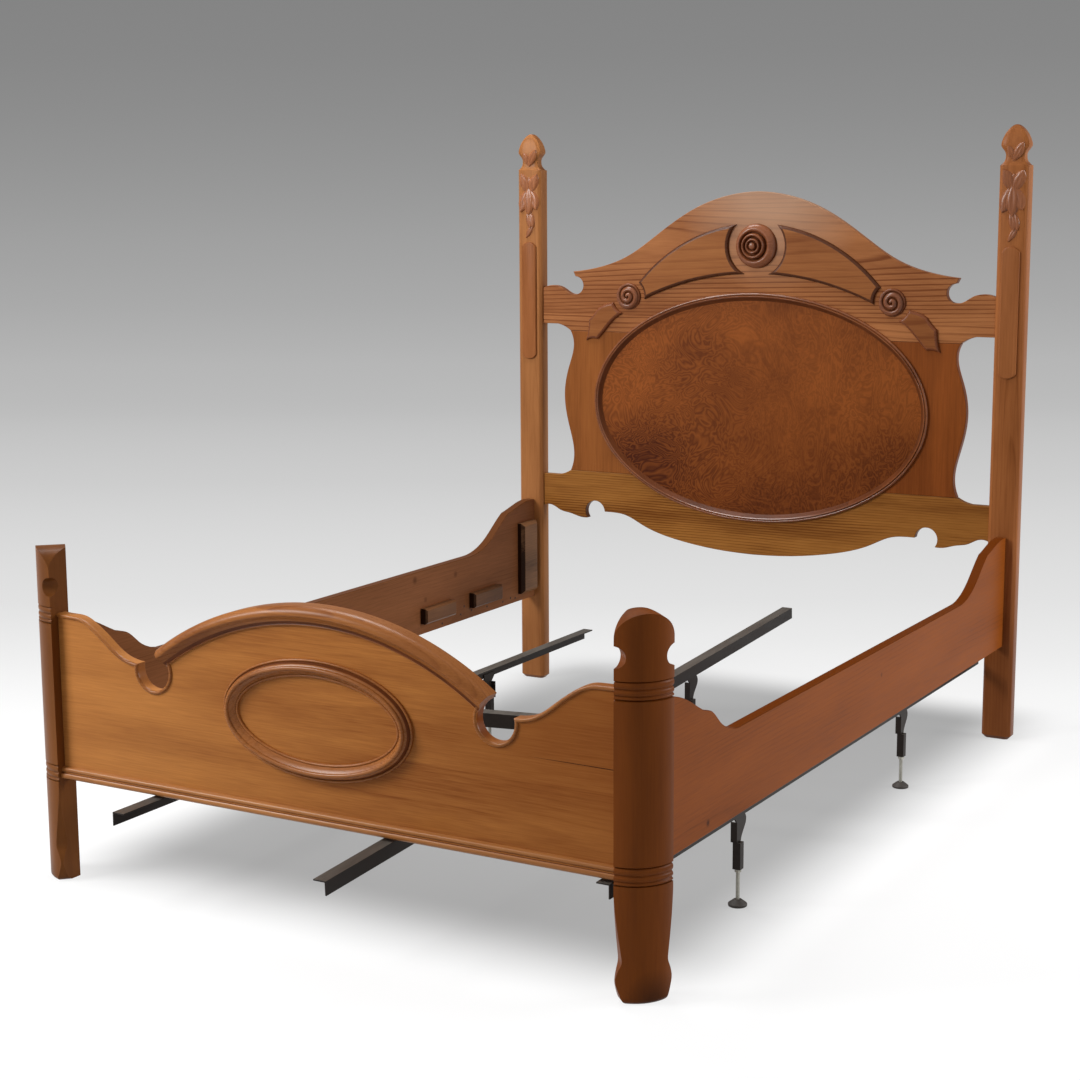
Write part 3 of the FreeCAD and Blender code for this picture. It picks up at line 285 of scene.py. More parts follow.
def leaf(shape, root, tip, wide, high, curl):
    """One gouged leaf, in mm: swollen, creased along its middle, its tip curling off the face."""
    run = 16
    ribs = 10
    along = tip - root
    side = Vector((along.z, 0, -along.x)).normalized()
    grid = []
    for i in range(run + 1):
        u = i / run
        half = wide / 2 * math.sin(math.pi * min(1.0, 0.08 + 0.92 * u) ** 1.15) ** 0.7
        row = []
        for j in range(ribs + 1):
            v = 2 * j / ribs - 1
            swell = high * math.sin(math.pi * (0.15 + 0.72 * u)) * max(0.0, 1 - v * v) ** 0.5
            crease = high * 0.3 * math.exp(-(v * 4) ** 2) * math.sin(math.pi * u)
            rise = max(0.0, swell - crease) + curl * u * u * (1 - v * v)
            place = root + along * u + side * (half * v) + Vector((0, -rise, 0))
            row.append(shape.verts.new(place / 1000))
        grid.append(row)
    for low, high_row in zip(grid, grid[1:]):
        for a, b, c, d in zip(low, low[1:], high_row[1:], high_row):
            shape.faces.new((a, b, c, d))


carved_pine = varnished_pine("varnished pine, carved", "Z", "#a9683d", "#6f3a1c", 1085.0, figure=0.12,
                             start=0.83, shine=0.3, ends=0.1)
# Dark faces for the mouldings' quirks, painted dark as painted shade.
quirk_shade_pine = varnished_pine("varnished pine, painted shade in quirks", "Z", "#743e1e", "#4a250f", 1085.0, figure=0.1,
                          start=0.83, ends=0.0)
LEAF_SUNK = 0.5
# Root and tip of each leaf from the post's middle line and face, its width, swell and curl.
leaves = (((-1, 0, 1408), (-25, 0, 1461), 32, 4.25, 3.2), ((1, 0, 1408), (27, 0, 1459), 32, 4.25, 3.2),
          ((0, 0, 1404), (1, 0, 1450), 30, 3.4, 0.8), ((0, 0, 1417), (-27, 0, 1354), 38, 4.25, 4.0),
          ((0, 0, 1417), (25, 0, 1360), 37, 4.25, 4.0), ((0, 0, 1420), (0, 0, 1344), 38, 5.95, 3.2),
          ((-4, 0, 1358), (6, 0, 1306), 22, 5.1, 2.4), ((4, 0, 1354), (14, 0, 1310), 20, 5.1, 3.2),
          ((13, 0, 1320), (-9, 0, 1282), 17, 4.25, 2.4), ((-3, 3, 1482), (23, -0.5, 1527), 24, 4.25, 1.6),
          ((1, 3, 1484), (-17, -0.5, 1518), 20, 3.4, 0.8))
for hand, side in HANDS:
    drop = bmesh.new()
    face = Vector((side * post_x, post_front + LEAF_SUNK, 0))
    for root, tip, wide, high, curl in leaves:
        leaf(drop, face + Vector(root), face + Vector(tip), wide, high, curl)
    name = "husk_drop_carved_" + hand
    laid(name, meshed(name, drop), "bed", "varnished_wood", "husk_drop_" + hand, carved_pine)

# Crest rail, stiles and lower rail
# The headboard's frame: wide pine boards sawn to shape, butt-jointed and dowelled round the
# oval, planed flush and varnished. Grain runs across in the rails and up in the stiles.


def worked(node, ease_mm, body, slot, finish, steps=3):
    """A piece over its solid with eased arrises."""
    shape = bmesh.new()
    shape.from_mesh(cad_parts[node].data)
    bmesh.ops.remove_doubles(shape, verts=shape.verts, dist=0.00002)
    bmesh.ops.dissolve_limit(shape, angle_limit=math.radians(0.8), verts=shape.verts, edges=shape.edges)
    shape.verts.index_update()
    mesh = bpy.data.meshes.new(node + "_worked")
    mesh.from_pydata([v.co[:] for v in shape.verts], [], [[v.index for v in f.verts] for f in shape.faces])
    shape.free()
    mesh.shade_smooth()
    arris = laid(node + "_worked", mesh, body, slot, node, finish).modifiers.new("eased arris", "BEVEL")
    arris.width = ease_mm / 1000
    arris.segments = steps
    arris.use_clamp_overlap = False
    arris.harden_normals = True
    arris.angle_limit = math.radians(28)


BOARD_FACE = 1101.0
# A painted highlight on the middle of the crest's top stands in for the lamps' glare.
crest_pine = varnished_pine("varnished pine, crest", "X", "#b67748", "#754020", BOARD_FACE, figure=0.36,
                            ring_mm=8.0, board_mm=290.0, pith_mm=45.0, start=0.27,
                            marks=(((0.04, 1.101, 1.43), 200, "#c8a58a", 0.55),))
lower_pine = varnished_pine("varnished pine, lower rail", "X", "#b07637", "#63330c", BOARD_FACE, figure=0.5,
                            board_mm=1240.0, pith_mm=25.0, lean_deg=0.25, start=0.91)
worked("crest_rail", ARRIS, "bed", "varnished_wood", crest_pine)
worked("head_lower_rail", ARRIS, "bed", "varnished_wood", lower_pine)
# The right stile is painted darker than the left as painted light falling off from the left.
for hand, pale, dark in (("left", "#a0602e", "#6a3612"), ("right", "#985222", "#612e0d")):
    stile_pine = varnished_pine("varnished pine, stile " + hand, "Z", pale, dark, BOARD_FACE, figure=0.14,
                                ring_mm=15.0, board_mm=1120.0, pith_mm=60.0, start=0.55)
    worked("head_stile_" + hand, ARRIS, "bed", "varnished_wood", stile_pine)

# Burl panel
# Sawn burl veneer on a plain ground, polished. Close curling lines round small eyes towards
# the left, a soft upright quilting towards the right, broad darker clouds over both.
burl, tree, skin, spot = finish_of("polished burl veneer")
# Curls lie about 6 mm apart in the veneer; 21 lines to each 140 mm swell of the noise give that.
swirl = add(tree, "TexNoise", {"Vector": spot, "Scale": 7.0, "Detail": 3.5, "Roughness": 0.52,
                               "Distortion": 1.3}, "Fac")
lines = add(tree, "Math", {0: swirl, 1: 21.0}, operation="MULTIPLY")
curls = add(tree, "Math", {0: lines, 1: 0.5}, operation="PINGPONG")
# Quilting: swells 50 mm wide and 110 mm high, crossed by flecks 42 mm wide and 11 mm high.
upright = add(tree, "Mapping", {"Vector": spot, "Scale": (20.0, 20.0, 9.0)})
quilt = add(tree, "TexNoise", {"Vector": upright, "Scale": 1.0, "Detail": 3.0, "Distortion": 1.6}, "Fac")
flat = add(tree, "Mapping", {"Vector": spot, "Scale": (24.0, 60.0, 90.0)})
weft = add(tree, "TexNoise", {"Vector": flat, "Scale": 1.0, "Detail": 2.0, "Distortion": 0.8}, "Fac")
woven = add(tree, "Math", {0: quilt, 1: 9.0, 2: weft}, operation="MULTIPLY_ADD")
ripples = add(tree, "Math", {0: woven, 1: 0.5}, operation="PINGPONG")
place = add(tree, "SeparateXYZ", {0: spot}).node.outputs
share = add(tree, "MapRange", {"Value": place["X"], "From Min": -0.16, "From Max": 0.22})
foot = add(tree, "MapRange", {"Value": place["Z"], "From Min": 0.56, "From Max": 0.8, "To Min": 0.22,
                              "To Max": 0.0})
left_tone = add(tree, "MapRange", {"Value": curls, "From Max": 0.5, "To Min": 0.9, "To Max": 0.25})
right_tone = add(tree, "MapRange", {"Value": ripples, "From Max": 0.5, "To Min": 0.95, "To Max": 0.45})
figure = add(tree, "Mix", {0: share, 2: left_tone, 3: right_tone}, data_type="FLOAT")
cloud = add(tree, "TexNoise", {"Vector": spot, "Scale": 3.2, "Detail": 3.0}, "Fac")
cloud_tone = add(tree, "MapRange", {"Value": cloud, "From Min": 0.3, "From Max": 0.7, "To Min": -0.32,
                                    "To Max": 0.32})
tone = add(tree, "Math", {0: figure, 1: 0.72, 2: cloud_tone}, operation="MULTIPLY_ADD")
tone = add(tree, "Math", {0: tone, 1: foot}, operation="ADD")
stain = add(tree, "Mix", {SHARE: tone, FIRST: tint("#985322"), SECOND: tint("#451a05")}, **COLOURS)
# The back shows the plain ground that the veneer lies on.
facing = add(tree, "SeparateXYZ", {0: add(tree, "NewGeometry", out="Normal")}, "Y")
behind = add(tree, "Math", {0: facing, 1: 0.5}, operation="GREATER_THAN")
ground = add(tree, "Mix", {SHARE: weft, FIRST: tint("#94623b"), SECOND: tint("#6d4223")}, **COLOURS)
stain = add(tree, "Mix", {SHARE: behind, FIRST: stain, SECOND: ground}, **COLOURS)
relief = add(tree, "Bump", {"Height": curls, "Strength": 0.08, "Distance": 0.0001})
feed(tree, skin, {"Base Color": stain, "Normal": relief, "Roughness": 0.34, "Specular IOR Level": 0.1})
THIN_ARRIS = 0.8
worked("burl_panel", THIN_ARRIS, "bed", "burl_veneer", burl)

# Oval ring round the burl panel
# A moulding pieced round the oval and glued over the panel's edge: a thin outer bead, a quirk,
# then a broad hollow slope down to the veneer. It is polished more than the boards. The quirk and
# the hollow slope are painted dark as painted shade.


def bow(centre_u, centre_v, radius, start, end, steps=6):
    """Section points on an arc, in millimetres and degrees."""
    turns = [math.radians(start + (end - start) * k / steps) for k in range(steps + 1)]
    return [(centre_u + radius * math.cos(a), centre_v + radius * math.sin(a)) for a in turns]


def moulding(name, path, section, closed, quirks, node, *finishes):
    """A moulding run along a path of (point, outward way); section is outward and proud, in mm.
    Quirks are the places in the section that are painted dark as painted shade."""
    shape = bmesh.new()
    rows = [[shape.verts.new(point + way * (u / 1000) + Vector((0, -v / 1000, 0))) for u, v in section]
            for point, way in path]
    for row, after in zip(rows, rows[1:] + rows[:1] if closed else rows[1:]):
        for k in range(len(section)):
            n = (k + 1) % len(section)
            face = shape.faces.new((row[k], row[n], after[n], after[k]))
            face.material_index = 1 if k in quirks else 0
    if not closed:
        shape.faces.new(rows[0][::-1])
        shape.faces.new(rows[-1])
    bmesh.ops.recalc_face_normals(shape, faces=shape.faces)
    laid(name, meshed(name, shape, 38), "bed", "varnished_wood", node, *finishes)


def oval_path(a, b, y, z, steps=160):
    """Points round an upright oval with the way outward at each."""
    turns = [2 * math.pi * k / steps for k in range(steps)]
    return [(Vector((a * math.cos(t), y, z + b * math.sin(t))),
             Vector((b * math.cos(t), 0, a * math.sin(t))).normalized()) for t in turns]


ring_pine = varnished_pine("polished pine, oval ring", "X", "#8f5127", "#5c2d0f", 1095.0, figure=0.12,
                           start=1.2, shine=0.45, ends=0.0)
board_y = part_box("crest_rail")[0].y
ring_wide, ring_high, ring_z = 0.478, 0.298, 0.829
ring_section = ([(13, 0), (13, 2.4)] + bow(9.6, 4.2, 3.4, -10, 160)
                + [(6.0, 4.8), (5.2, 8.0), (4.4, 8.8), (3.4, 8.8), (1.6, 7.2), (-1.2, 4.2), (-4.4, 0.6),
                   (-8, -2.4), (-8, -3), (-0.4, -3), (-0.4, 0)])
moulding("head_oval_ring", oval_path(ring_wide, ring_high, board_y, ring_z), ring_section, True,
         (8, 13, 14, 15), "head_oval_moulding", ring_pine, quirk_shade_pine)

# Wings and tails
# Thin bands of figured veneer on pine planted on the crest, hollowed round the rosettes. The
# rounded edges are coloured dark brown all round, as a dark stain together with painted shade, so
# they read as drawn lines; the tails' edges are lighter.
WING_FACE = 1092.0
WING_ROUND, TAIL_ROUND = 8.0, 7.0
wing_pine = varnished_pine("figured veneer, wing", "X", "#a2673a", "#764120", WING_FACE, figure=0.2,
                           ring_mm=9.0, start=0.66)
# Dark edges: a dark stain together with painted shade.
dark_edge_pine, tail_edge_pine = [varnished_pine(name, "X", pale, dark, WING_FACE, figure=0.1, start=0.1, shine=0.2,
                                         ends=0.0)
                          for name, pale, dark in (("dark edge", "#5f3216", "#3f1f0b"),
                                                   ("lighter edge", "#82492a", "#5d3117"))]


def outline_of(node):
    """The front outline of a solid, in order."""
    shape = bmesh.new()
    shape.from_mesh(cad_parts[node].data)
    bmesh.ops.remove_doubles(shape, verts=shape.verts, dist=0.00002)
    front_y = min(v.co.y for v in shape.verts)
    joined = {}
    for e in shape.edges:
        if e.calc_face_angle(0) > 0.5 and all(v.co.y < front_y + 0.0001 for v in e.verts):
            for v in e.verts:
                joined.setdefault(v, []).append(e.other_vert(v))
    came = min(joined, key=lambda v: v.co.x)
    here = max(joined[came], key=lambda v: v.co.z)
    points = [came.co.copy()]
    while here is not None and (here.co - points[0]).length > 0.00001:
        points.append(here.co.copy())
        came, here = here, next((v for v in joined[here] if v is not came), None)
    shape.free()
    return points


def inside(dot, rim):
    """Whether a dot lies within a closed rim, by counting the sides to its right."""
    crossed = 0
    for a, b in zip(rim, rim[1:] + rim[:1]):
        if (a.y > dot.y) != (b.y > dot.y):
            crossed += dot.x < a.x + (dot.y - a.y) / (b.y - a.y) * (b.x - a.x)
    return crossed % 2 == 1


def planted(node, round_mm, *finishes):
    """A planted band: a flat face that rolls over to a darker edge all along its outline."""
    roll = round_mm / 1000
    step = 0.002
    corners = [Vector((p.x, p.z)) for p in outline_of(node)]
    front_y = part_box(node)[0].y
    rim = []
    for here, on in zip(corners, corners[1:] + corners[:1]):
        bits = max(1, round((on - here).length / step))
        rim += [here.lerp(on, k / bits) for k in range(bits)]
    near = KDTree(len(rim))
    for k, dot in enumerate(rim):
        near.insert((dot.x, dot.y, 0), k)
    near.balance()
    dots = list(rim)
    for share in (0.1, 0.24, 0.4, 0.6, 0.8, 1.0, 1.2):
        deep = share * roll
        for k, dot in enumerate(rim):
            leg = rim[(k + 1) % len(rim)] - rim[k - 1]
            into = dot + Vector((leg.y, -leg.x)).normalized() * deep
            if inside(into, rim) and near.find((into.x, into.y, 0))[2] > deep * 0.96:
                dots.append(into)
    flat, _, faces = delaunay_2d_cdt(dots, [], [list(range(len(rim)))], 1, 0.00001)[:3]
    shape = bmesh.new()
    verts = []
    for dot in flat:
        share = min(1.0, max(0.0, near.find((dot.x, dot.y, 0))[2] - 0.0001) / roll)
        drop = roll * (1 - math.sqrt(1 - (1 - share) ** 2))
        verts.append(shape.verts.new((dot.x, front_y + drop, dot.y)))
    for face in faces:
        middle = sum((flat[k] for k in face), Vector((0, 0))) / len(face)
        depth = near.find((middle.x, middle.y, 0))[2]
        shape.faces.new([verts[k] for k in face]).material_index = 1 if depth < roll * 0.95 else 0
    open_edges = [e for e in shape.edges if len(e.link_faces) == 1]
    for part in bmesh.ops.extrude_edge_only(shape, edges=open_edges)["geom"]:
        if isinstance(part, bmesh.types.BMVert):
            part.co.y = board_y
        elif isinstance(part, bmesh.types.BMFace):
            part.material_index = 1
    bmesh.ops.recalc_face_normals(shape, faces=shape.faces)
    name = node + "_planted"
    laid(name, meshed(name, shape), "bed", "burl_veneer", node, *finishes)


for hand, side in HANDS:
    planted("wing_" + hand, WING_ROUND, wing_pine, dark_edge_pine)
    planted("tail_" + hand, TAIL_ROUND, wing_pine, tail_edge_pine)

# Rosettes
# Carved volutes glued on the crest, cut with a parting tool. The large one has a broad rim
# round two ridges and a button; each small one winds in. The cuts are painted darker as painted shade.


def rosette(place, x, z, radius, thick, drift, carved):
    """A turned or wound disc: carved(t, turn) gives the height share and whether it is a cut."""
    shape = bmesh.new()
    spokes = 96
    rounds = 56
    turns = [2 * math.pi * j / spokes for j in range(spokes)]
    rows = []
    cuts = []
    for i in range(rounds + 1):
        t = 1 - i / (rounds + 0.6)
        middle = x + drift * radius * min(1.0, (1 - t) / 0.35)
        marks = [carved(t, j / spokes) for j in range(spokes)]
        rows.append([shape.verts.new((middle + radius * t * math.cos(a), board_y - thick * mark[0],
                                      z + radius * t * math.sin(a))) for a, mark in zip(turns, marks)])
        cuts.append([mark[1] for mark in marks])
    for i, (outer, inner) in enumerate(zip(rows, rows[1:])):
        for j in range(spokes):
            n = (j + 1) % spokes
            face = shape.faces.new((outer[j], outer[n], inner[n], inner[j]))
            face.material_index = 1 if cuts[i][j] or cuts[i + 1][j] else 0
    shape.faces.new(rows[-1])
    shape.faces.new(rows[0][::-1])
    bmesh.ops.recalc_face_normals(shape, faces=shape.faces)
    name = "rosette_volute_" + place
    laid(name, meshed(name, shape), "bed", "varnished_wood", "rosette_" + place, rosette_pine, groove_shade_pine)


def through(knots, at):
    """The value of a smooth line through (place, value) knots."""
    for k, ((p0, v0), (p1, v1)) in enumerate(zip(knots, knots[1:])):
        if at <= p1 or k == len(knots) - 2:
            break
    before = knots[max(k - 1, 0)]
    beyond = knots[min(k + 2, len(knots) - 1)]
    span = p1 - p0
    m0 = (v1 - before[1]) / (p1 - before[0]) * span
    m1 = (beyond[1] - v0) / (beyond[0] - p0) * span
    s = max(0.0, min(1.0, (at - p0) / span))
    return ((2 * s ** 3 - 3 * s ** 2 + 1) * v0 + (s ** 3 - 2 * s ** 2 + s) * m0
            + (3 * s ** 2 - 2 * s ** 3) * v1 + (s ** 3 - s ** 2) * m1)


# Height shares of the large rosette from its middle out, and the places of its grooves.
large_knots = ((0.0, 1.0), (0.08, 0.99), (0.14, 0.9), (0.19, 0.42), (0.24, 0.72), (0.29, 0.88), (0.34, 0.74),
               (0.39, 0.26), (0.44, 0.6), (0.50, 0.8), (0.56, 0.62), (0.61, 0.12), (0.66, 0.42), (0.74, 0.6),
               (0.86, 0.52), (0.95, 0.36), (0.985, 0.2), (1.0, 0.0))
large_grooves = (0.19, 0.39, 0.61)


def ringed(t, turn):
    """Heights of the large rosette: button, two ridges and a broad rim."""
    return through(large_knots, t), any(abs(t - groove) < 0.028 for groove in large_grooves)


def wound(t, turn):
    """Heights of a small rosette: one band winding in to a button."""
    band = abs(math.sin(math.pi * (2.3 * t + turn)))
    rim = min(1.0, (1 - t) / 0.07)
    return rim ** 0.5 * (0.95 - 0.5 * t) * (0.35 + 0.65 * band ** 0.6), band < 0.4 and 0.1 < t < 0.96


rosette_pine = varnished_pine("varnished pine, rosette", "X", "#905533", "#5f3118", 1085.0, figure=0.12,
                              start=0.35, shine=0.32, ends=0.1)
# The cuts are painted darker as painted shade.
groove_shade_pine = varnished_pine("varnished pine, painted shade in rosette cuts", "X", "#744227", "#4b2713", 1085.0, figure=0.1,
                             start=0.35, ends=0.0)
SMALL_X, SMALL_Z, SMALL_R, SMALL_THICK = 0.385, 1.123, 0.037, 0.016
LARGE_Z, LARGE_R, LARGE_THICK, LARGE_DRIFT = 1.265, 0.059, 0.023, -0.1
rosette("centre", 0, LARGE_Z, LARGE_R, LARGE_THICK, LARGE_DRIFT, ringed)
rosette("right", SMALL_X, SMALL_Z, SMALL_R, SMALL_THICK, 0.0, wound)
rosette("left", -SMALL_X, SMALL_Z, SMALL_R, SMALL_THICK, 0.0, wound)

# Foot posts
# Quarter-round pine posts, turned with two sets of rings, then sawn across the corner to a
# round head, notches, ankle and foot. The stain lies darker on them than on the panel.
CORNER_X, CORNER_Y = 649.0, -853.0
TURNED_R = 78.0
SAWN_HALF = 55.15
RING_TOPS, RING_DEEP = (584, 250), 33
RING_BANDS = ((0, 14.5), (14.5, 26.5), (26.5, RING_DEEP))
RING_ROOT, RING_SWELL = 73.5, 4.4
HEAD_Z, HEAD_RISE = 658, 46
NOTCH_Z, NOTCH_HALF, NOTCH_R, NOTCH_OUT = 626, 20, 20.112, 2.11
CALF_TOP = 200
CORE = 18.4
ARC_STEPS = 28
# The turned and the sawn faces are rounded in at the floor, from these heights and by this much.
TOE_Z, TOE_IN = 8, 6
SAWN_TOE_Z, SAWN_TOE_IN = 5, 3
# Half width of the sawn ankle and foot at each height.
calf = ((0, 38.9), (8, 43.5), (24, 49.2), (41, 52.6), (58, 49.2), (75, 43.2), (90, 44.0), (121, 48.0),
        (164, 52.6), (200, 55.2))
# Levels lie closer where rings, notches and head turn fast.
levels = sorted({3.0 * k for k in range(235)} | {top - k for top in RING_TOPS for k in range(RING_DEEP + 1)}
                | {NOTCH_Z - NOTCH_HALF + 2 * k for k in range(NOTCH_HALF + 1)} | {690 + k for k in range(14)}
                | {0.8, 1.8, 703.5, 703.9})
slant = math.sqrt(0.5)
for hand, side, pale, dark in (("left", -1, "#7c4a22", "#4b270e"), ("right", 1, "#854617", "#502508")):
    foot_pine = varnished_pine("varnished pine, turned post " + hand, "Z", pale, dark, -920.0, figure=0.04,
                               board_mm=2 * CORNER_X, start=0.77, shine=0.08, ends=0.25, fibrous=0.4,
                               marks=(((side * 0.72, -0.9, 0.0), 45, "#1f1008", 0.6),))
    loops = []
    for z in levels:
        across = TURNED_R
        for top in RING_TOPS:
            for a, b in RING_BANDS:
                if a <= top - z <= b:
                    off = (2 * (top - z) - a - b) / (b - a)
                    across = RING_ROOT + RING_SWELL * max(0.0, 1 - off ** 2) ** 0.5
        if z < TOE_Z:
            across -= TOE_IN * (1 - z / TOE_Z) ** 2
        half = across * slant
        if z < CALF_TOP:
            half = min(half, through(calf, z) - SAWN_TOE_IN * max(0.0, 1 - z / SAWN_TOE_Z) ** 2)
        elif abs(z - NOTCH_Z) < NOTCH_HALF:
            half = min(half, SAWN_HALF - math.sqrt(NOTCH_R ** 2 - (z - NOTCH_Z) ** 2) + NOTCH_OUT)
        elif z > HEAD_Z:
            half = min(half, SAWN_HALF * math.sqrt(1 - ((z - HEAD_Z) / HEAD_RISE) ** 2))
        core = min(half, CORE)
        arc = [half * (2 * k / ARC_STEPS - 1) for k in range(ARC_STEPS + 1)]
        back = [half, (half + core) / 2, core, 0.0, -core, -(half + core) / 2, -half]
        loop = [(w, math.sqrt(across ** 2 - w * w)) for w in arc] + [(w, max(CORE, abs(w))) for w in back]
        loops.append([(side * (CORNER_X + (d + w) * slant), CORNER_Y - (d - w) * slant, z) for w, d in loop])
    stack("foot_post_turned_" + hand, loops, "dark_turned_wood", "foot_post_" + hand, foot_pine)

# Footboard panel
# Pine boards glued edge to edge, sawn to an arch with shoulders and round notches. Faint long
# grain runs across; the panel is painted darker and warmer at the right and paler at the left as
# painted light falling off from the left; at the right one glue joint has opened.
PANEL_FACE = -911.0
# Its two marks paint it darker at the right and paler at the left as painted light falling off from the left.
panel_pine = varnished_pine("varnished pine, footboard", "X", "#c48040", "#80441a", PANEL_FACE, figure=0.08,
                            ring_mm=8.0, board_mm=210.0, pith_mm=40.0, start=0.13, patchy=0.8, fibrous=0.85,
                            marks=(((0.6, -0.911, 0.5), 260, "#80400f", 0.5),
                                   ((-0.6, -0.911, 0.4), 500, "#cf8d4d", 0.28)))
worked("foot_panel", ARRIS, "bed", "varnished_wood", panel_pine)
joint_dark = varnished_pine("open glue joint", "X", "#4a2711", "#2c1508", PANEL_FACE, figure=0.1)
panel_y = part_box("foot_panel")[0].y
JOINT_PROUD = 0.0002
joint = bpy.data.meshes.new("panel_joint")
joint_points = ((455, 420.9), (540, 420.0), (648, 418.8), (648, 420.4), (540, 421.0))
joint.from_pydata([(x / 1000, panel_y - JOINT_PROUD, z / 1000) for x, z in joint_points], [],
                  [range(len(joint_points))])
laid("panel_joint", joint, "bed", "varnished_wood", None, joint_dark)

# Shoulder beads
# A narrow round bead of the panel's own pine along the top of each shoulder and round its
# notch, worked on the edge and rubbed darker than the face.
bead_pine = varnished_pine("varnished pine, bead", "X", "#ab6c33", "#773f14", -913.0, figure=0.12, start=0.5,
                           shine=0.2, ends=0.0)
bead_section = [(-8, 0)] + bow(-4.2, 0.2, 3.7, 180, 0, 8) + [(-0.3, -2), (-8, -2)]
# The bead starts at the post and ends under the cap.
bead_ends = ((0.649, 0.570), (0.3774, 0.5104))
edge = outline_of("foot_panel")
for hand, side in HANDS:
    ends = [min(range(len(edge)), key=lambda k: (edge[k] - Vector((side * x, panel_y, z))).length)
            for x, z in bead_ends]
    run = [edge[k].copy() for k in range(min(ends), max(ends) + 1)]
    if ends[0] > ends[1]:
        run.reverse()
    path = []
    for k, point in enumerate(run):
        spans = (point - run[max(k - 1, 0)], run[min(k + 1, len(run) - 1)] - point)
        turns = [Vector((-s.z, 0, s.x)).normalized() * -side for s in spans if s.length > 0]
        way = sum(turns, Vector()).normalized()
        path.append((point, way / max(0.7, way.dot(turns[0]))))
    moulding("shoulder_bead_" + hand, path, bead_section, False, (), None, bead_pine)

# Arch cap
# A heavy moulding bent over the arch and glued to its edge: a round top and front, then a slope
# that falls in from the nose to a quirk at the panel, painted dark as painted shade.
cap_pine = varnished_pine("varnished pine, cap", "X", "#a96a35", "#753d15", -925.0, figure=0.18, ring_mm=9.0,
                          start=0.95, shine=0.16, ends=0.2)
CAP_R, CAP_Z, CAP_DEG = 0.642, -0.009, 36
ways = [Vector((math.sin(t), 0, math.cos(t)))
        for t in (math.radians(d) for d in range(-CAP_DEG, CAP_DEG + 1))]
cap_path = [(Vector((0, panel_y, CAP_Z)) + way * CAP_R, way) for way in ways]
cap_section = [(-24, 0), (-24, 3.4), (-22.4, 4.0), (-21, 3.2), (-15.5, 6.2), (-10, 10.6), (-5.6, 15.2),
               (-3.8, 17.4), (-2.2, 18), (0.6, 17.8), (4, 16.8), (7.4, 14.7), (10.4, 11.6), (12.8, 7.8),
               (14.4, 3.6), (15, -1), (15, -25), (14, -26), (0.4, -26), (0.4, 0)]
moulding("arch_cap_moulding", cap_path, cap_section, False, (2, 3), "arch_cap", cap_pine, quirk_shade_pine)

# Oval moulding on the footboard
# A pieced oval planted on the panel: it rises from a small bead on each side to a round ridge,
# with its quirks painted dark as painted shade.
foot_oval_section = ([(17.5, 0), (17.5, 2.0)] + bow(15.2, 3.2, 2.4, -10, 160, 5)
                     + [(12.4, 4.4), (11.4, 7.2), (9.4, 10.6), (7.4, 12.7), (5.9, 13.6)]
                     + bow(1.5, 14.6, 4.2, -5, 185, 9)
                     + [(-3.4, 13.6), (-6.2, 11.6), (-9.6, 8.0), (-12.2, 4.4)]
                     + bow(-14.8, 3.0, 2.5, 25, 190, 5) + [(-17.5, 1.6), (-17.5, 0)])
foot_ring_pine = varnished_pine("varnished pine, foot oval", "X", "#ad6b34", "#744017", -920.0, figure=0.12,
                                start=1.2, shine=0.22, ends=0.0)
foot_oval_wide, foot_oval_high, foot_oval_z = 0.2035, 0.1005, 0.4269
moulding("foot_oval_ring", oval_path(foot_oval_wide, foot_oval_high, panel_y, foot_oval_z, 128),
         foot_oval_section, True, (7, 8, 9, 26), "foot_oval_moulding", foot_ring_pine, quirk_shade_pine)

# Base moulding
# A double bead of pine along the panel's foot, nailed on, its ends let against the posts. It
# is painted a little paler than the panel as painted light on its rounded top, with the line
# between the beads painted dark as painted shade.
BASE_HALF, BASE_Z = 0.6485, 0.221
base_path = [(Vector((x, panel_y, BASE_Z)), Vector((0, 0, 1))) for x in (-BASE_HALF, BASE_HALF)]
base_section = ([(0, 0), (0.4, 5.4)] + bow(7.2, 5.0, 7.0, 180, 25, 9) + [(14.4, 6.0)]
                + bow(19.6, 3.4, 5.2, 160, 10, 7) + [(26, 0)])
base_pine = varnished_pine("varnished pine, base bead", "X", "#b97c45", "#8a5226", -918.0, figure=0.1,
                           start=0.7, shine=0.2, ends=0.0)
moulding("base_bead", base_path, base_section, False, (10,), "base_moulding", base_pine, quirk_shade_pine)

# Side rails
# Wide pine boards with scrolled ends; hook plates are let into their ends. Slat blocks and a
# cleat of bare softwood are screwed to the inner faces.
# Their end faces are darkened almost to black, as end grain together with painted shade.
block_pine = varnished_pine("bare pine, blocks", "Y", "#84593a", "#2a170c", 670.0, figure=0.03, start=0.7,
                            ends=0.9)
cleat_pine = varnished_pine("bare pine, cleats", "Y", "#a87852", "#2a170c", 670.0, figure=0.0, start=0.3,
                            ends=0.9)
rail_knots = {"left": (((-0.686, 0.66, 0.383), 8, "#4a2713", 0.5), ((-0.686, 0.46, 0.40), 9, "#4a2713", 0.6),
                       ((-0.686, 0.51, 0.339), 7, "#4a2713", 0.4),
                       ((-0.686, 0.70, 0.255), 90, "#5a3a24", 0.35)),
              "right": (((0.710, -0.676, 0.269), 6, "#3a1b0b", 0.85),
                        ((0.710, 0.21, 0.36), 5, "#3a1b0b", 0.5))}
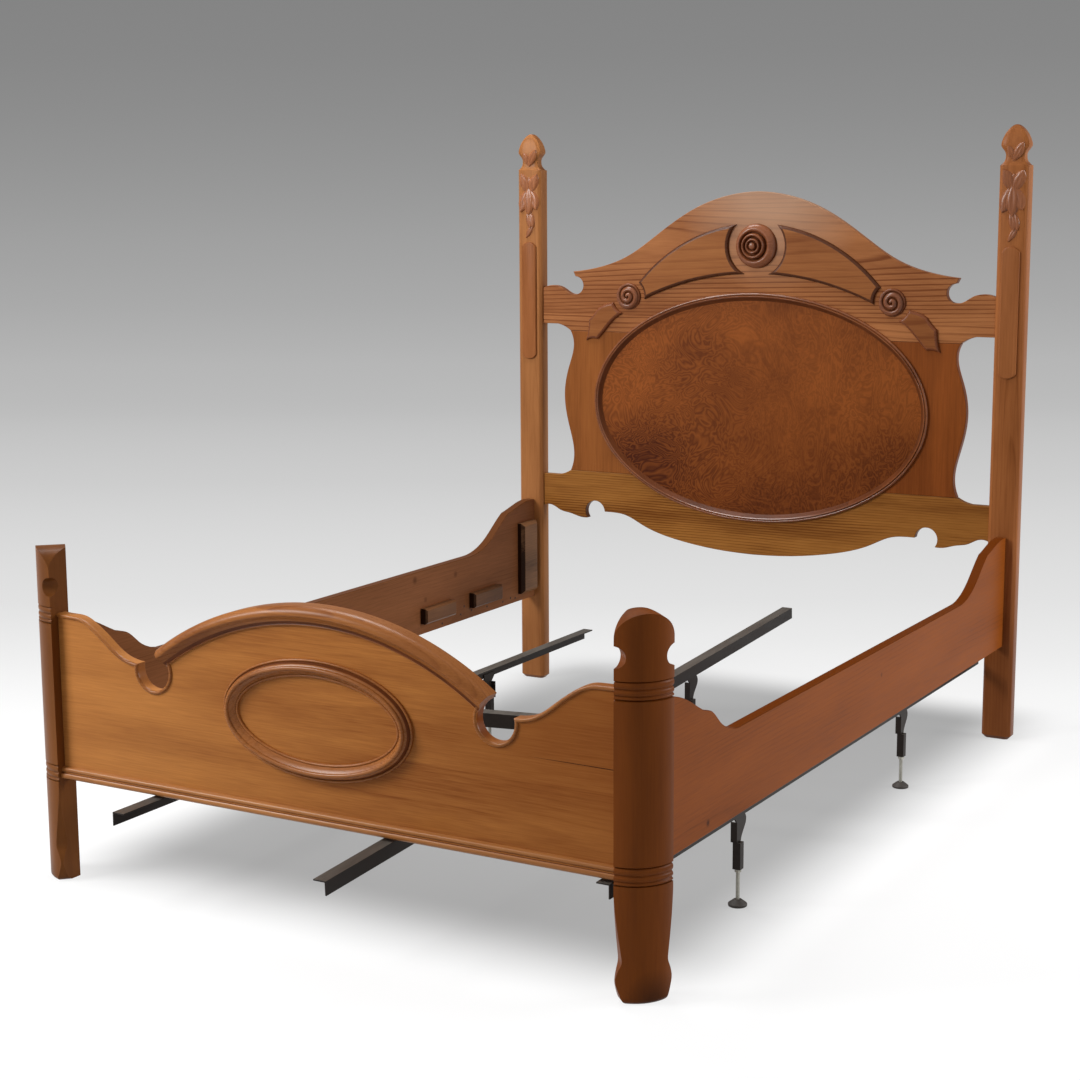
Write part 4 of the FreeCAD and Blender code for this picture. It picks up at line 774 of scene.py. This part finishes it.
# The rails' faces turned up are painted darker as painted shade.
for hand, face, pale, dark in (("left", 686.0, "#9e6743", "#633a1f"),
                               ("right", -710.0, "#a35822", "#67300a")):
    rail_pine = varnished_pine("varnished pine, side rail " + hand, "Y", pale, dark, face, figure=0.1,
                               ring_mm=9.0, board_mm=668.0, pith_mm=40.0, start=0.2, shine=0.03, above=1.0,
                               patchy=0.4, marks=rail_knots[hand])
    worked("side_rail_" + hand, ARRIS, "bed", "varnished_wood", rail_pine)
    worked("slat_blocks_" + hand, THIN_ARRIS, "bed", "plain_softwood", block_pine)
    worked("hook_cleat_" + hand, THIN_ARRIS, "bed", "plain_softwood", cleat_pine)

# Nail heads
# Old nails along the lower edge of each rail, where slat bearers were once fixed. Their heads
# are domed iron, rusted dark brown and matt, with a crust about 1 mm in grain.
NAIL_R, NAIL_SIDES = 0.004, 10
NAIL_BRIM_X, NAIL_TOP_X = 0.6862, 0.6848
rust, tree, skin, spot = finish_of("rusted nail heads")
crust = add(tree, "TexNoise", {"Vector": spot, "Scale": 900.0, "Detail": 3.0}, "Fac")
shade = add(tree, "Mix", {SHARE: crust, FIRST: tint("#24130b"), SECOND: tint("#3f2413")}, **COLOURS)
feed(tree, skin, {"Base Color": shade, "Roughness": 0.75})
nail_places = ((590, 259), (634, 274), (683, 267), (702, 286), (741, 268), (822, 264), (908, 262), (950, 265),
               (976, 261))
nail_turns = [2 * math.pi * k / NAIL_SIDES for k in range(NAIL_SIDES)]
for hand, side in HANDS:
    nails = bmesh.new()
    for y, z in nail_places:
        top = nails.verts.new((side * NAIL_TOP_X, y / 1000, z / 1000))
        brim = [nails.verts.new((side * NAIL_BRIM_X, y / 1000 + NAIL_R * math.cos(a),
                                 z / 1000 + NAIL_R * math.sin(a))) for a in nail_turns]
        for k in range(NAIL_SIDES):
            nails.faces.new((top, brim[k - 1], brim[k]))
    bmesh.ops.recalc_face_normals(nails, faces=nails.faces)
    mesh = bpy.data.meshes.new("rail_nails_" + hand)
    nails.to_mesh(mesh)
    nails.free()
    laid("rail_nails_" + hand, mesh, "bed", "dark_steel", None, rust)

# Under-frame irons
# Rolled angle irons in brown-black paint, worn, and grey on the flanges that face up as dust and
# worn paint together with a painted sheen, with a cross bar riveted below them and a spacer that
# carries the climbing centre iron.
paint, tree, skin, spot = finish_of("brown-black painted steel")
# Scuffs run some 110 mm along the irons and are 17 mm wide; the paint's grain is about 1.4 mm.
drawn = add(tree, "Mapping", {"Vector": spot, "Scale": (60.0, 9.0, 60.0)})
scuff = add(tree, "TexNoise", {"Vector": drawn, "Scale": 1.0, "Detail": 5.0, "Roughness": 0.7}, "Fac")
coat = add(tree, "Mix", {SHARE: scuff, FIRST: tint("#1b1613"), SECOND: tint("#2c2420")}, **COLOURS)
# Flanges that face up are painted grey as dust and wear together with a painted sheen.
facing = add(tree, "SeparateXYZ", {0: add(tree, "NewGeometry", out="Normal")}, "Z")
upward = add(tree, "MapRange", {"Value": facing, "From Min": 0.6, "From Max": 0.95})
worn = add(tree, "MapRange", {"Value": scuff, "From Min": 0.3, "From Max": 0.6, "To Min": 0.55})
dust_and_sheen = add(tree, "Math", {0: upward, 1: worn}, operation="MULTIPLY")
coat = add(tree, "Mix", {SHARE: dust_and_sheen, FIRST: coat, SECOND: tint("#5d5852")}, **COLOURS)
speck = add(tree, "TexNoise", {"Vector": spot, "Scale": 700.0, "Detail": 2.0}, "Fac")
relief = add(tree, "Bump", {"Height": speck, "Strength": 0.25, "Distance": 0.0002})
rough = add(tree, "MapRange", {"Value": scuff, "To Min": 0.36, "To Max": 0.58})
feed(tree, skin, {"Base Color": coat, "Roughness": rough, "Normal": relief, "Specular IOR Level": 0.15})
irons = (("left", "left_iron"), ("centre", "bed"), ("right", "bed"))
painted = [("iron_" + place, body) for place, body in irons]
painted += [(node, "bed") for node in ("cross_bar", "centre_spacer", "bar_rivets")]
painted += [(kind + place, body) for kind in ("leg_brackets_", "leg_sleeves_") for place, body in irons]
ROLLED_ARRIS = 0.5
for node, body in painted:
    worked(node, ROLLED_ARRIS, body, "dark_steel", paint, steps=2)

# Levelling stems, lock nuts and hook plates
# Zinc-plated steel gone dull, in clouds about 6 mm across: rolled threads on the stems that screw
# into the sleeves, plain faces on the nuts and on the plates let into the rails.
zinc, tree, skin, spot = finish_of("dull zinc-plated steel")
bloom = add(tree, "TexNoise", {"Vector": spot, "Scale": 160.0, "Detail": 4.0}, "Fac")
plate = add(tree, "Mix", {SHARE: bloom, FIRST: tint("#7d7b73"), SECOND: tint("#a5a39a")}, **COLOURS)
rough = add(tree, "MapRange", {"Value": bloom, "To Min": 0.32, "To Max": 0.55})
# The thread's pitch is 1.25 mm; it is drawn at 2.5 mm so that it shows.
THREAD_MM = 2.5
thread = add(tree, "TexWave", {"Vector": spot, "Scale": WAVE_MM / THREAD_MM, "Distortion": 0.0}, "Fac",
             wave_type="BANDS", bands_direction="Z")
relief = add(tree, "Bump", {"Height": thread, "Strength": 0.6, "Distance": 0.0006})
feed(tree, skin, {"Base Color": plate, "Metallic": 1.0, "Roughness": rough, "Normal": relief})
legs = [place + "_" + end for place, body in irons for end in ("rear", "front")]
plated = [("stem_" + leg, "leg_" + leg) for leg in legs]
plated += [("lock_nuts_" + place, body) for place, body in irons]
plated += [("rail_hooks_" + hand, "bed") for hand, side in HANDS]
CUT_ARRIS = 0.4
for node, body in plated:
    worked(node, CUT_ARRIS, body, "zinc_steel", zinc, steps=2)

# Glides
# Moulded dark plastic feet pressed on the stems, matt, with dust in patches of about 8 mm and
# a surface rubbed uneven by the floor.
glide_plastic, tree, skin, spot = finish_of("moulded dark plastic")
dust = add(tree, "TexNoise", {"Vector": spot, "Scale": 120.0, "Detail": 4.0}, "Fac")
shade = add(tree, "Mix", {SHARE: dust, FIRST: tint("#211b17"), SECOND: tint("#3a322c")}, **COLOURS)
relief = add(tree, "Bump", {"Height": dust, "Strength": 0.2, "Distance": 0.0003})
feed(tree, skin, {"Base Color": shade, "Normal": relief, "Roughness": 0.6})
MOULDED_ARRIS = 1.2
for leg in legs:
    worked("glide_" + leg, MOULDED_ARRIS, "leg_" + leg, "dark_plastic", glide_plastic)

# Studio
# A pale paper sweep under and far behind the bed, white near the camera and grey towards the
# top, with soft lamps at the left, the right and overhead.


def plainly_seen(tree):
    """1 for what the camera, gloss or glass sees, and 0 for light thrown on the bed."""
    rays = add(tree, "LightPath").node.outputs
    gloss = add(tree, "Math", {0: rays["Is Camera Ray"], 1: rays["Is Glossy Ray"]}, operation="ADD")
    return add(tree, "Math", {0: gloss, 1: rays["Is Transmission Ray"]}, operation="ADD", use_clamp=True)


AWAY, ASIDE = Vector((-0.502, 0.865, 0)), Vector((0.865, 0.502, 0))
SWEEP_NEAR, SWEEP_FLAT, SWEEP_R, SWEEP_TOP, SWEEP_HALF = -30.0, 8.5, 2.5, 20.0, 30.0
FLOOR_GAP = 0.0002
sweep = bmesh.new()
profile = [(SWEEP_NEAR, 0.0), (SWEEP_FLAT, 0.0)]
profile += [(SWEEP_FLAT + SWEEP_R * math.sin(a), SWEEP_R - SWEEP_R * math.cos(a))
            for a in (math.radians(d) for d in range(10, 91, 10))]
profile += [(SWEEP_FLAT + SWEEP_R, SWEEP_TOP)]
rows = [[sweep.verts.new(AWAY * far + ASIDE * w + Vector((0, 0, up - FLOOR_GAP)))
         for w in (-SWEEP_HALF, SWEEP_HALF)] for far, up in profile]
for low, high in zip(rows, rows[1:]):
    sweep.faces.new((low[0], low[1], high[1], high[0]))
mesh = meshed("paper_sweep", sweep)
paper, tree, skin, spot = finish_of("seamless paper")
depth = add(tree, "VectorMath", {0: spot, 1: AWAY + Vector((0, 0, 1))}, "Value", operation="DOT_PRODUCT")
span = add(tree, "MapRange", {"Value": depth, "From Max": 16.0})
fade = add(tree, "ValToRGB", {"Fac": span})
ramp = fade.node.color_ramp
ramp.elements[0].position, ramp.elements[0].color = 0.005, tint("#ffffff")
ramp.elements[1].position, ramp.elements[1].color = 0.866, tint("#848484")
for place, code in ((0.05, "#f6f6f6"), (0.095, "#ececec"), (0.1525, "#e2e2e2"), (0.233, "#d9d9d9"),
                    (0.336, "#cdcdcd"), (0.494, "#c1c1c1"), (0.6095, "#b6b6b6"), (0.674, "#a9a9a9"),
                    (0.725, "#a0a0a0"), (0.769, "#969696"), (0.804, "#8e8e8e"), (0.838, "#878787")):
    ramp.elements.new(place).color = tint(code)
# Seen directly or in gloss the near floor is bright paper that keeps the shadows, with a painted
# shadow of soft grey over the bed's whole footprint; farther off it is the even grey of a lit backdrop.
# To the light that it throws back on the bed it is plain grey paper.
# The painted shadow: soft grey over the bed's footprint.
ground = add(tree, "SeparateXYZ", {0: spot}).node.outputs
wide = add(tree, "Math", {0: ground["X"]}, operation="ABSOLUTE")
under = add(tree, "MapRange", {"Value": wide, "From Min": 0.54, "From Max": 0.84, "To Min": 0.58,
                               "To Max": 0.0}, interpolation_type="SMOOTHSTEP")
for start, end in ((-1.02, -0.62), (1.5, 1.2)):
    reach = add(tree, "MapRange", {"Value": ground["Y"], "From Min": start, "From Max": end},
                interpolation_type="SMOOTHSTEP")
    under = add(tree, "Math", {0: under, 1: reach}, operation="MULTIPLY")
far = add(tree, "MapRange", {"Value": depth, "From Min": 0.9, "From Max": 2.4})
shaded = add(tree, "Math", {0: 1.0, 1: under}, operation="SUBTRACT")
level = add(tree, "Mix", {0: far, 2: shaded, 3: 1.0}, data_type="FLOAT")
lift = add(tree, "MapRange", {"Value": far, "To Min": 1.06, "To Max": 1.0})
bright = add(tree, "Math", {0: level, 1: lift}, operation="MULTIPLY")
# Well off to the sides the paper goes on white, so that the bed stands clear in other views.
sideways = add(tree, "VectorMath", {0: spot, 1: ASIDE}, "Value", operation="DOT_PRODUCT")
beside = add(tree, "Math", {0: sideways}, operation="ABSOLUTE")
clear = add(tree, "MapRange", {"Value": beside, "From Min": 7.0, "From Max": 26.0},
            interpolation_type="SMOOTHSTEP")
grey = add(tree, "Mix", {SHARE: clear, FIRST: fade, SECOND: tint("#ffffff")}, **COLOURS)
glow = add(tree, "Emission", {"Color": grey, "Strength": bright})
near = add(tree, "BsdfDiffuse", {"Color": level})
share = add(tree, "MapRange", {"Value": far, "To Min": 0.8, "To Max": 1.0})
seen = add(tree, "MixShader", {0: share, 1: near, 2: glow})
both = add(tree, "MixShader", {0: plainly_seen(tree), 1: skin.outputs[0], 2: seen})
feed(tree, tree.nodes["Material Output"], {"Surface": both})
feed(tree, skin, {"Base Color": tint("#b4b4b4"), "Roughness": 0.9, "Specular IOR Level": 0.1})
mesh.materials.append(paper)
scene = bpy.context.scene
floor = bpy.data.objects.new("paper_sweep", mesh)
scene.collection.objects.link(floor)


def softbox(name, place, aim, size, power):
    """A square studio light turned to a point."""
    lamp = bpy.data.lights.new(name, "AREA")
    lamp.size = size
    lamp.energy = power
    stand = bpy.data.objects.new(name, lamp)
    stand.location = place
    stand.rotation_euler = (Vector(aim) - Vector(place)).to_track_quat("-Z", "Y").to_euler()
    scene.collection.objects.link(stand)


softbox("key", (-2.5, -2.7, 2.6), (0.0, -0.2, 0.6), 1.4, 128)
softbox("fill", (3.6, 1.5, 1.9), (0.4, -0.2, 0.4), 1.6, 75)
softbox("overhead", (-1.15, 0.5, 3.4), (-0.1, 0.2, 0.5), 1.3, 52)

# The room is white to the eye and in gloss, and lights the bed at a lower level.
world = bpy.data.worlds.new("studio")
world.use_nodes = True
tree = world.node_tree
strength = add(tree, "MapRange", {"Value": plainly_seen(tree), "To Min": 0.36, "To Max": 1.24})
feed(tree, tree.nodes["Background"], {"Color": tint("#e8e8e8"), "Strength": strength})
scene.world = world
scene.view_settings.view_transform = "Standard"

# The camera stands in front of the foot and to its right, and looks down by some 10 degrees.
lens = bpy.data.cameras.new("camera")
lens.lens = 67.56
lens.sensor_width = 36.0
EYE = (2.2423, -3.9257, 1.4196)
PAN_DEG, DOWN_DEG, ROLL_DEG = 30.128, 9.8405, -0.3128
camera = bpy.data.objects.new("camera", lens)
pan = Matrix.Rotation(math.radians(PAN_DEG), 4, "Z")
tilt = Matrix.Rotation(math.radians(90 - DOWN_DEG), 4, "X")
roll = Matrix.Rotation(math.radians(ROLL_DEG), 4, "Z")
camera.matrix_world = Matrix.Translation(EYE) @ pan @ tilt @ roll
scene.collection.objects.link(camera)
scene.camera = camera
